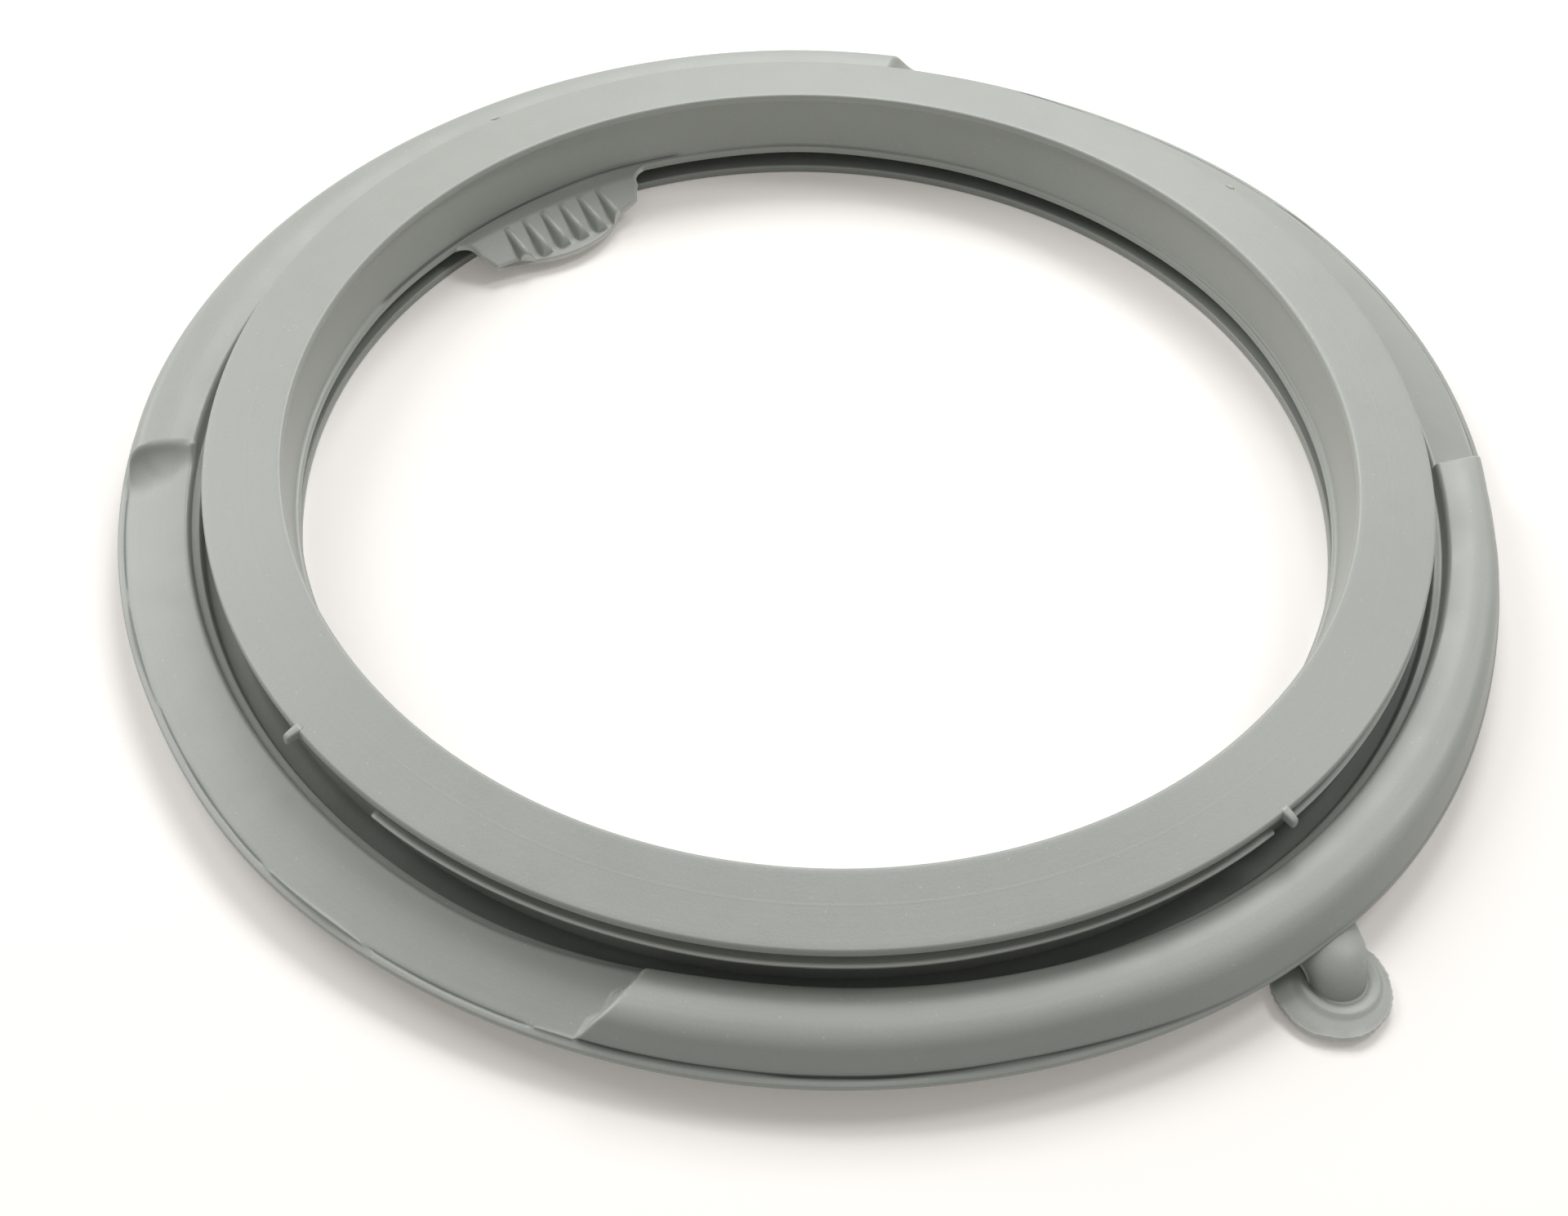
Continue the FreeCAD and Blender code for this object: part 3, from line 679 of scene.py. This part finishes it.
def shell_surface(shell):
    """Grid of the whole shell, and the strength of the fine lines on it.

    The raised section leans as far as the plan angle says. A point on its crown or outer side keeps its
    place until a slanted end cuts it off, and then slides to its place on the flat section. A point on the
    inner wall or beside the brim goes straight from one section to the other. Painted highlights run as
    light lines along the top of the slanted ends, and along the foot of one. The wavy corner between side
    and brim is a crease with painted shade, and the bottom of the valley is darkened with painted shade.
    """
    angles = shell_angles()[:, None]
    upright = shell_section(shell, True)
    leaning = shell_section(shell, True, shell.lean)
    leans = np.interp(angles, *np.array(LEAN_SHARES).T, period=360)[..., None]
    radius, height = np.moveaxis(upright + leans * (leaning - upright), -1, 0)
    flat_radius, flat_z = shell_section(shell, False).T
    start = BRIM_RADIUS - shell_width(shell)
    full = height - flat_height(shell, radius)
    limit = np.minimum(end_height(shell, radius, angles), NO_LIMIT)
    limit = np.where(on_flat_length(angles), 0, limit)

    rise = np.maximum(smooth_min(full, limit, 1.4 * MM), 0)
    slide = (1 - np.clip(rise / np.maximum(full, 0.1 * MM), 0, 1)) ** 3
    cut_radius = radius + slide * (flat_radius - radius)
    cut_height = flat_height(shell, cut_radius) + rise

    wall = radius < start + 2 * MM
    reach = np.where(wall, shell.crown_inner_height - shell.flat_height, 0.3 * MM)
    share = np.clip(limit / reach, 0, 1)
    straight = wall | (full < 0.6 * MM)
    new_radius = np.where(straight, flat_radius + share * (radius - flat_radius), cut_radius)
    new_height = np.where(straight, flat_z + share * (height - flat_z), cut_height)

    side = BRIM_RADIUS - shell.brim_width
    on_raised = np.clip(limit / (3 * MM), 0, 1)
    narrow = ramp(angles, *NARROW_STARTS) * (1 - ramp(angles, *NARROW_ENDS)) * on_raised
    to_side = ramp(radius, side - NARROW_REACH, side)
    to_edge = np.clip((BRIM_RADIUS - radius) / shell.brim_width, 0, 1)
    new_radius = new_radius + narrow * np.minimum(to_side, to_edge) * NARROW_WIDTH * shell.brim_width
    under_brim = ramp(radius, side, BRIM_RADIUS) * (height < shell.brim_height - 0.5 * MM)
    new_height = new_height + narrow * under_brim * NARROW_LIFT * shell.brim_thickness

    # Painted highlights: light lines along the top edge of the slanted ends, and along the foot of the third
    upper = (height > shell.brim_height - 1 * MM) & (radius > start)
    top_highlight = bell(full, limit, 1.0 * MM) * (full > 1.2 * MM) * upper
    at_third_end = (angles > RAISED_ENDS[2][1] - 1) & (angles < RAISED_ENDS[2][0] + 1)
    foot_highlight = bell(limit, 0.9 * MM, 0.5 * MM) * (full > 0.8 * MM) * upper * at_third_end
    # Painted shade in the crease between the raised side and the brim, which is also made wavy in shape
    crease = bell(radius, side, 0.45 * MM) * bell(full, 0, 0.45 * MM) * (1 - 0.8 * narrow)
    new_height = new_height + crease * wander(angles, 0.7 * MM, (13, 22, 35, 57), 0.7)
    new_radius = new_radius - crease * on_raised * 0.5 * MM
    # Painted shade: the valley's bottom, below the ledge, is darkened
    ledge = shell.valley_floor + shell.ledge_rise
    above_floor = height > shell.valley_floor - 1 * MM
    valley = (1 - ramp(height, ledge - 1.6 * MM, ledge - 0.6 * MM)) * (radius < start) * above_floor
    # Sum of the painted highlights and the painted shade of the crease and the valley
    lines = 0.45 * (top_highlight + foot_highlight) - 0.95 * crease * np.maximum(on_raised, 0.35) - 0.5 * valley
    return polar(drifted(new_radius, angles), angles, new_height), lines


def carried(centres, sides, rises, outline):
    """A section carried along a path: each row is centre + x side + y rise for the outline's (x, y).

    The outline may be one (points, 2) array or one for each row.
    """
    outline = np.broadcast_to(outline, (len(centres), *np.shape(outline)[-2:]))
    return (centres[:, None, :] + outline[..., :1] * sides[:, None, :]
            + outline[..., 1:] * rises[:, None, :])


def round_box(width, height, rounding, count=5):
    """Outline of a rectangle with round corners, centred on (0, 0)."""
    corner = (rounding, count, 1)
    return section([
        (-width / 2, -height / 2, *corner), (width / 2, -height / 2, *corner),
        (width / 2, height / 2, *corner), (-width / 2, height / 2, *corner),
    ])


class GASKET_OT_front_ring(bpy.types.Operator):
    """Make the front ring with the throat wall, the bead and the neck"""

    bl_idname = "gasket.front_ring"
    bl_label = "Front ring"

    def execute(self, context):
        ring = context.scene.gasket_ring
        angles = np.arange(0, 360, 0.6)[:, None]
        radius, height = ring_section(ring).T
        low = 1 - ramp(height, ring.bead_lift, RING_TOP)
        inside = radius < ring.throat_radius + ring.width / 2
        slack = np.where(inside, low, 0)
        radius = radius + slack * wander(angles, 0.35 * MM, (5, 11, 17), 1.3)
        height = height + slack * wander(angles, 0.30 * MM, (7, 12, 19), 0.4)
        # The joint of the bead and the wall beside the tab gets painted shade: a dark line in the crease
        joint = ring.bead_lift + ring.bead_height + 0.35 * MM
        beside_tab = 1 - ramp(np.abs(from_angle(angles, TAB_ANGLE + 4)), 22, 24)
        lines = -0.95 * beside_tab * bell(height, joint, 0.30 * MM) * inside
        spots = polar(radius, angles, height)
        dress(surface("front_ring", spots, closed_rows=True, lines=lines))
        return {"FINISHED"}


class GASKET_OT_outer_shell(bpy.types.Operator):
    """Make the shell with its flat and raised lengths, the brim, the collar and the rear wall"""

    bl_idname = "gasket.outer_shell"
    bl_label = "Outer shell"

    def execute(self, context):
        spots, lines = shell_surface(context.scene.gasket_shell)
        dress(surface("outer_shell", spots, closed_rows=True, lines=lines))
        return {"FINISHED"}


class GASKET_OT_clamp_rims(bpy.types.Operator):
    """Make the two lengths of the thin rim behind the clamp groove"""

    bl_idname = "gasket.clamp_rims"
    bl_label = "Clamp rims"

    def execute(self, context):
        ring = context.scene.gasket_ring
        root = neck_outer(ring) - ring.neck_wall / 2
        reach = ring_outer(ring) + ring.rim_proud
        under = RING_TOP - ring.dish - ring.thickness
        middle = under - ring.groove_width - ring.rim_thickness / 2
        outline = round_box(reach - root, ring.rim_thickness, 0.85 * MM) + ((root + reach) / 2, 0)
        for number, (start, end) in enumerate(RIM_SPANS, 1):
            angles = np.linspace(start, end, 160)[:, None]
            radius = outline[:, 0] + wander(angles, 0.15 * MM, (9, 16, 25), number)
            height = middle + outline[:, 1] + wander(angles, 0.15 * MM, (6, 13, 23), number)
            # Painted highlight along the rim's outer top edge
            lines = bell(outline[:, 0], reach, 0.4 * MM) * (outline[:, 1] > 0.1 * MM)
            dress(surface(f"clamp_rim_{number}", polar(radius, angles, height), lines=lines))
        return {"FINISHED"}


class GASKET_OT_alignment_nubs(bpy.types.Operator):
    """Make the small tapered nubs on the ring's outer edge"""

    bl_idname = "gasket.alignment_nubs"
    bl_label = "Alignment nubs"

    def execute(self, context):
        ring = context.scene.gasket_ring
        outer = ring_outer(ring)
        top = RING_TOP - ring.dish + ring.nub_rise
        height = ring.thickness + ring.nub_rise
        share = np.array([0, 0.3, 0.6, 0.85, 0.95, 1.0])
        root = 1.6 * MM
        narrow = np.array([1.0, 0.92, 0.82, 0.72, 0.62, 0.40])
        low = np.array([1.0, 1.0, 0.97, 0.92, 0.85, 0.65])
        for number, (angle, size) in enumerate(NUBS, 1):
            reach = outer - root * size + share * (ring.nub_reach + root) * size
            droop = (2 - size) * MM * share ** 2
            out, side = facing(angle)
            centres = reach[:, None] * out + (top - height / 2 - droop)[:, None] * UP
            outlines = round_box(ring.nub_width, height, 0.55 * MM) * np.stack([narrow, low], -1)[:, None]
            sides = np.tile(side, (len(reach), 1))
            rises = np.tile(UP, (len(reach), 1))
            dress(surface(f"alignment_nub_{number}", carried(centres, sides, rises, outlines)))
        return {"FINISHED"}


def tab_half_width(tab, depth):
    """Half width of the tab at a depth from the bead: a round cove to the waist, then straight."""
    share = np.clip(depth / tab.waist_reach, 0, 1)
    coved = tab.root - (tab.root - tab.waist) * np.sqrt(np.clip(1 - (1 - share) ** 2, 0, 1))
    share = (depth - tab.waist_reach) / (tab.corner_reach - tab.waist_reach)
    return np.where(depth < tab.waist_reach, coved, tab.waist + share * (tab.half_width - tab.waist))


def tab_tip(tab, x):
    """Depth of the tab's end at a place across it: a round bow with a straight ear on either side."""
    out = np.abs(x)
    rise = tab.reach - tab.ear_reach
    bow_radius = (tab.bow ** 2 + rise ** 2) / (2 * rise)
    bow = tab.reach - bow_radius + np.sqrt(np.maximum(bow_radius ** 2 - out ** 2, 0))
    ear = tab.ear_reach + (out - tab.bow) / (tab.half_width - tab.bow) * (tab.corner_reach - tab.ear_reach)
    skew = tab.skew / 2 * x / tab.half_width * (out / tab.half_width) ** 2
    return np.where(out < tab.bow, bow, ear) - skew


def tab_height(tab, depth, top):
    """Height of the tab's upper side: level ledge, slope and level border, with soft folds."""
    low = tab.tip_lift + tab.thickness
    run = tab.reach - tab.ledge - tab.border
    share = (depth - tab.ledge) / run
    fold = 0.10
    soft = -smooth_min(-smooth_min(share, np.ones_like(share), fold), np.zeros_like(share), fold)
    return top + (low - top) * soft


def tab_ribs(tab, x, down):
    """Height of the ribs over the slope at a place across and a share of the way down it.

    Each rib has a half round section. It grows out of the slope in a straight line and ends in a short
    round, just past the foot of the slope.
    """
    grown = np.clip(down * 1.25 - 0.02, 0, 1) ** 0.85
    end = np.sqrt(np.clip(1 - (np.clip(down - 0.90, 0, 1) / 0.16) ** 2, 0, 1))
    ridge = np.zeros_like(x)
    for i in range(tab.ribs):
        place = (i - (tab.ribs - 1) / 2) * tab.rib_pitch
        half = tab.rib_width / 2 * (0.62 + 0.38 * np.clip(down * 1.4, 0, 1))
        across = (x - place - 0.5 * MM * (down - 0.5)) / half
        ridge = np.maximum(ridge, np.clip(1 - across ** 2, 0, 1) ** 0.6)
    return tab.rib_proud * ridge * grown * end


TAB_EDGE_STEPS = np.array([1, 0.6, 0.3, 0.12, 0.03, 0])    # the last points close in on the round edge
TAB_EDGE_ROUND = 0.9 * MM


def tab_surface(tab, ring):
    """Grid of the tab, and its fine lines: rows from the bead to the tip, closed round both sides.

    The root follows the bead's circle and the tip its own bow. The plate thins in a round towards its edge,
    which carries a painted highlight as a light line, and the joint with the bead carries painted shade.
    """
    top = ring.bead_lift + ring.bead_height - 0.15 * MM
    last = 0.015 * TAB_EDGE_STEPS
    share = np.concatenate([np.linspace(0, 0.59, 34)[:-1], np.linspace(0.59, 1 - last[0], 50)[:-1], 1 - last])
    share = share[:, None]
    last = 0.02 * TAB_EDGE_STEPS
    across = np.linspace(last[0] - 1, 1 - last[0], 241)[1:-1]
    across = np.concatenate([last[::-1] - 1, across, 1 - last])
    side_depth = share * tab.corner_reach
    x = tab_half_width(tab, side_depth) * across
    extra = tab_tip(tab, tab.half_width * across) - tab.corner_reach
    bead_line = np.sqrt(ring.throat_radius ** 2 - x ** 2)
    flat_line = ring.throat_radius - side_depth - extra * ramp(share, 0, 1)
    root_share = 1 - ramp(side_depth, 0, tab.corner_reach)
    y = flat_line + root_share * (bead_line - ring.throat_radius)
    y = np.where(share == 0, bead_line + 1.6 * MM, y)
    from_bead = bead_line - y
    bend = from_bead + 0.45 * (ring.throat_radius - bead_line)
    z = tab_height(tab, bend, top)

    down = (bend - tab.ledge) / (tab.reach - tab.border - tab.ledge)
    ridge = tab_ribs(tab, x, np.clip(down, 0, 1.1))
    near_side = np.clip((1 - np.abs(across)) * tab.half_width / TAB_EDGE_ROUND, 0, 1)
    near_tip = np.clip((1 - share) * tab.reach / TAB_EDGE_ROUND, 0, 1)
    edge = np.sqrt(1 - (1 - near_side) ** 2) * np.sqrt(1 - (1 - near_tip) ** 2)
    thick = tab.thickness * (0.35 + 0.65 * edge)
    middle = z - tab.thickness / 2
    upper = np.stack([x, y, middle + thick / 2 + ridge], axis=-1)
    lower = np.stack([x, y, middle - thick / 2], axis=-1)
    # Painted highlight along the plate's round edge
    lines = 0.9 * (1 - edge) * (share > 0.05)
    # Painted shade where the plate meets the bead
    lines = lines - 0.8 * bell(from_bead, -0.5 * MM, 0.4 * MM)
    loop = np.concatenate([upper, lower[:, ::-1]], axis=1)
    turn = math.radians(TAB_ANGLE - 90)
    spin = np.array([[math.cos(turn), math.sin(turn), 0], [-math.sin(turn), math.cos(turn), 0], [0, 0, 1]])
    return loop @ spin, np.concatenate([lines, lines[:, ::-1]], axis=1)


class GASKET_OT_ribbed_tab(bpy.types.Operator):
    """Make the ribbed tab that hangs from the bead"""

    bl_idname = "gasket.ribbed_tab"
    bl_label = "Ribbed tab"

    def execute(self, context):
        scene = context.scene
        spots, lines = tab_surface(scene.gasket_tab, scene.gasket_ring)
        dress(surface("ribbed_tab", spots, lines=lines))
        return {"FINISHED"}


def tube_foot(spigot):
    """Point on the floor under the tube's axis."""
    out, side = facing(SPIGOT_ANGLE)
    return out * (BRIM_RADIUS + spigot.reach) + side * spigot.shift


def duct_surface(spigot):
    """Grid of the duct, and its fine lines: ellipses turned about a level line under the elbow.

    The duct runs straight out of the shell, bends down about the line and ends in the bore, whose wall and
    ceiling are the last rows. A thin fin of rubber runs along one side and carries a painted highlight.
    """
    out, side = facing(SPIGOT_ANGLE - math.degrees(spigot.slant))
    pivot = tube_foot(spigot) - out * spigot.radius + UP * spigot.elbow_level
    straight = np.array([9.0, 6.0, 3.0]) * MM
    bend = np.linspace(0, 1, 48)
    back = np.concatenate([straight, np.zeros(len(bend))])[:, None]
    bend = np.concatenate([np.zeros(len(straight)), bend])[:, None]
    half_width = spigot.root_width + (spigot.radius - spigot.root_width) * ramp(bend, 0, 1)
    half_height = spigot.root_height + (spigot.radius - spigot.root_height) * bend ** 1.7
    turn = bend * math.pi / 2
    away = UP * np.cos(turn) + out * np.sin(turn)
    centres = pivot - out * back + away * half_height

    around = np.arange(0, 360, 2.0)
    fin = np.exp(-0.5 * (from_angle(around, 180) / 2.2) ** 2)
    around = np.radians(around)
    shape = np.stack([np.cos(around), np.sin(around)], axis=-1) * (1 + 0.06 * fin)[:, None]
    outline = shape * np.stack([half_width, half_height], axis=-1)
    rows = centres[:, None] + outline[..., :1] * side + outline[..., 1:] * away[:, None]

    inner = np.array([[spigot.bore, spigot.elbow_level], [spigot.bore, spigot.bore_height],
                      [spigot.passage, spigot.bore_height], [spigot.passage, 2 * spigot.bore_height]])
    ring = np.cos(around)[:, None] * side + np.sin(around)[:, None] * out
    bore = tube_foot(spigot) + inner[:, :1, None] * ring + inner[:, 1:, None] * UP
    # Painted highlight along the fin
    lines = np.concatenate([np.tile(0.8 * fin, (len(rows), 1)), np.zeros((len(inner), len(fin)))])
    return np.concatenate([rows, bore]), lines


def disc_surface(spigot):
    """Grid of the disc, and its fine lines: a section turned about the tube's foot.

    The turned rings slide from the tube's axis to the disc's own centre, and the edge is a little ragged.
    """
    centre = facing(SPIGOT_ANGLE)[0] * (BRIM_RADIUS + spigot.reach)
    top = spigot.disc_lift + spigot.disc_thickness
    soft_ring = spigot.radius + spigot.fillet
    profile = section([
        (spigot.bore, spigot.disc_lift, 0.4 * MM, 4, 3),
        (spigot.disc_radius, spigot.disc_lift, 0.5 * MM, 5, 1),
        (spigot.disc_radius, top, 0.35 * MM, 7, 8),
        (soft_ring + 2.0 * MM, top + 0.1 * MM, 2.4 * MM, 5, 1),
        (soft_ring + 0.6 * MM, top + 0.55 * MM, 1.6 * MM, 6, 1),
        (spigot.radius + 0.2 * MM, top + 0.15 * MM, 0.5 * MM, 5, 1),
        (spigot.radius - 1.2 * MM, top + 0.35 * MM, 0.4 * MM, 3, 1),
        (spigot.bore, top + 0.2 * MM, 0.1 * MM, 3, 1),
    ])
    angles = np.arange(0, 360, 1.5)[:, None]
    radius, height = profile.T
    edge = ramp(radius, spigot.disc_radius - 2 * MM, spigot.disc_radius)
    ragged = wander(angles, 0.22 * MM, (7, 17, 31), 0.9) + wander(angles, 0.14 * MM, (43, 59, 71), 1.7)
    height = height + edge * wander(angles, 0.25 * MM, (4, 9, 13), 2.1)
    share = ramp(radius, soft_ring + 0.5 * MM, spigot.disc_radius)
    middle = tube_foot(spigot) + share[:, None] * (centre - tube_foot(spigot))
    # Painted highlight along the disc's rim
    rim = bell(radius, spigot.disc_radius, 0.35 * MM)
    # Painted shade in the crease at the tube's foot
    foot = bell(radius, spigot.radius + 0.2 * MM, 0.5 * MM) * (height > top - 0.1 * MM)
    return polar(radius + edge * ragged, angles, height) + middle, 0.9 * rim - 0.5 * foot


class GASKET_OT_drain_spigot(bpy.types.Operator):
    """Make the drain spigot and its disc"""

    bl_idname = "gasket.drain_spigot"
    bl_label = "Drain spigot"

    def execute(self, context):
        spigot = context.scene.gasket_spigot
        spots, lines = duct_surface(spigot)
        dress(surface("drain_spigot_duct", spots, lines=lines))
        spots, lines = disc_surface(spigot)
        dress(surface("drain_spigot_disc", spots, closed_rows=True, lines=lines))
        return {"FINISHED"}


class GASKET_OT_studio(bpy.types.Operator):
    """Make the floor, the lights, the world and the camera"""

    bl_idname = "gasket.studio"
    bl_label = "Studio"

    def execute(self, context):
        look = context.scene.gasket_look
        make_floor(look)
        make_world(look)
        make_lights(look)
        make_camera()
        context.scene.view_settings.view_transform = "Standard"
        return {"FINISHED"}


def shown_white(tree, light):
    """1 for the rays that see the background as the camera does: straight, in a gloss or through glass."""
    path = tree.nodes.new("ShaderNodeLightPath")
    seen = math_node(tree, "MAXIMUM", path.outputs["Is Camera Ray"], path.outputs["Is Glossy Ray"])
    seen = math_node(tree, "MAXIMUM", seen, path.outputs["Is Transmission Ray"])
    return math_node(tree, "MULTIPLY", seen, light)


def make_floor(look):
    """Pale floor. What the camera sees of it is lifted to white where no shadow falls."""
    half = 3.0
    mesh = bpy.data.meshes.new("floor")
    corners = [(-half, -half, 0), (half, -half, 0), (half, half, 0), (-half, half, 0)]
    mesh.from_pydata(corners, [], [(0, 1, 2, 3)])
    floor = bpy.data.objects.new("floor", mesh)
    bpy.context.collection.objects.link(floor)
    material = bpy.data.materials.new("pale floor")
    material.use_nodes = True
    tree = material.node_tree
    shader = tree.nodes["Principled BSDF"]
    shader.inputs["Base Color"].default_value = (*look.floor, 1)
    shader.inputs["Roughness"].default_value = 1.0
    shader.inputs["Specular IOR Level"].default_value = 0.0
    glow = add_node(tree, "ShaderNodeEmission", {"Color": (1.0, 0.94, 0.87, 1.0),
                                                 "Strength": shown_white(tree, 0.19)})
    both = add_node(tree, "ShaderNodeAddShader", {0: shader.outputs[0], 1: glow.outputs[0]})
    tree.links.new(both.outputs[0], tree.nodes["Material Output"].inputs["Surface"])
    mesh.materials.append(material)


def make_world(look):
    """Even light all round, which the camera sees as white."""
    world = bpy.data.worlds.new("studio")
    bpy.context.scene.world = world
    world.use_nodes = True
    tree = world.node_tree
    background = tree.nodes["Background"]
    seen = shown_white(tree, 1.0 - look.sky)
    tree.links.new(math_node(tree, "ADD", seen, look.sky), background.inputs["Strength"])
    background.inputs["Color"].default_value = (1, 1, 1, 1)


# Camera that matches the photo: pitch down, roll, and the pixel and depth of a point over the origin
PHOTO_WIDTH = 1920
PHOTO_HEIGHT = 1489
CAMERA_TURN = -41.5
CAMERA_PITCH = 49.73
CAMERA_ROLL = 2.695
FOCAL_PIXELS = 2600
AIM_HEIGHT = 40 * MM
AIM_PIXEL = (1008.25, 480.56)
AIM_DEPTH = 584.69 * MM
SENSOR_WIDTH = 36


def photo_axes():
    """Right, up and forward of the photo's camera in the object's frame."""
    pitch = math.radians(CAMERA_PITCH)
    roll = math.radians(CAMERA_ROLL)
    right = Vector((1, 0, 0))
    forward = Vector((0, math.cos(pitch), -math.sin(pitch)))
    up = right.cross(forward)
    rolled_right = math.cos(roll) * right + math.sin(roll) * up
    rolled_up = -math.sin(roll) * right + math.cos(roll) * up
    turn = Matrix.Rotation(math.radians(CAMERA_TURN), 3, "Z")
    return turn @ rolled_right, turn @ rolled_up, turn @ forward


def make_camera():
    """Camera at the photo's angle and distance."""
    right, up, forward = photo_axes()
    x = (AIM_PIXEL[0] - PHOTO_WIDTH / 2) / FOCAL_PIXELS
    y = -(AIM_PIXEL[1] - PHOTO_HEIGHT / 2) / FOCAL_PIXELS
    place = Vector((0, 0, AIM_HEIGHT)) - AIM_DEPTH * (x * right + y * up + forward)
    data = bpy.data.cameras.new("camera")
    data.sensor_width = SENSOR_WIDTH
    data.lens = FOCAL_PIXELS / PHOTO_WIDTH * SENSOR_WIDTH
    data.clip_start = 0.01
    data.dof.use_dof = False
    camera = bpy.data.objects.new("camera", data)
    bpy.context.collection.objects.link(camera)
    matrix = Matrix((right, up, -forward)).transposed().to_4x4()
    matrix.translation = place
    camera.matrix_world = matrix
    bpy.context.scene.camera = camera


def add_lamp(name, side, back, height, size, power):
    """Square lamp at a place in the photo's own directions, turned towards the gasket."""
    data = bpy.data.lights.new(name, "AREA")
    data.shape = "SQUARE"
    data.size = size
    data.energy = power
    lamp = bpy.data.objects.new(name, data)
    bpy.context.collection.objects.link(lamp)
    turn = Matrix.Rotation(math.radians(CAMERA_TURN), 3, "Z")
    lamp.location = turn @ Vector((side, back, height))
    lamp.rotation_euler = (-lamp.location).to_track_quat("-Z", "Y").to_euler()


def make_lights(look):
    """Wide lamps behind and on the left, and a weak one on the right that throws a second shadow."""
    add_lamp("key_light", 0.15, 1.25, 1.35, 0.8, look.key_power)
    add_lamp("left_light", -1.30, 0.85, 1.20, 1.2, look.key_power)
    add_lamp("right_light", 1.10, 0.60, 1.45, 0.5, look.key_power * 0.4)


class GASKET_PT_panel(bpy.types.Panel):
    """Buttons for each part of the gasket"""

    bl_idname = "GASKET_PT_panel"
    bl_label = "Door gasket"
    bl_space_type = "VIEW_3D"
    bl_region_type = "UI"
    bl_category = "Gasket"

    def draw(self, context):
        for operator in OPERATORS:
            self.layout.operator(operator.bl_idname)


OPERATORS = (
    GASKET_OT_front_ring, GASKET_OT_outer_shell, GASKET_OT_clamp_rims, GASKET_OT_alignment_nubs,
    GASKET_OT_ribbed_tab, GASKET_OT_drain_spigot, GASKET_OT_studio,
)
SETTINGS = {
    "gasket_ring": GasketRing, "gasket_shell": GasketShell, "gasket_tab": GasketTab,
    "gasket_spigot": GasketSpigot, "gasket_look": GasketLook,
}


def register():
    """Register the settings, the operators and the panel."""
    for name, group in SETTINGS.items():
        bpy.utils.register_class(group)
        setattr(bpy.types.Scene, name, PointerProperty(type=group))
    for operator in OPERATORS:
        bpy.utils.register_class(operator)
    bpy.utils.register_class(GASKET_PT_panel)


def unregister():
    """Take everything back that register added."""
    bpy.utils.unregister_class(GASKET_PT_panel)
    for operator in reversed(OPERATORS):
        bpy.utils.unregister_class(operator)
    for name, group in SETTINGS.items():
        delattr(bpy.types.Scene, name)
        bpy.utils.unregister_class(group)


def main():
    register()
    bpy.ops.gasket.front_ring()
    bpy.ops.gasket.outer_shell()
    bpy.ops.gasket.clamp_rims()
    bpy.ops.gasket.alignment_nubs()
    bpy.ops.gasket.ribbed_tab()
    bpy.ops.gasket.drain_spigot()
    bpy.ops.gasket.studio()


if __name__ == "__main__":
    main()
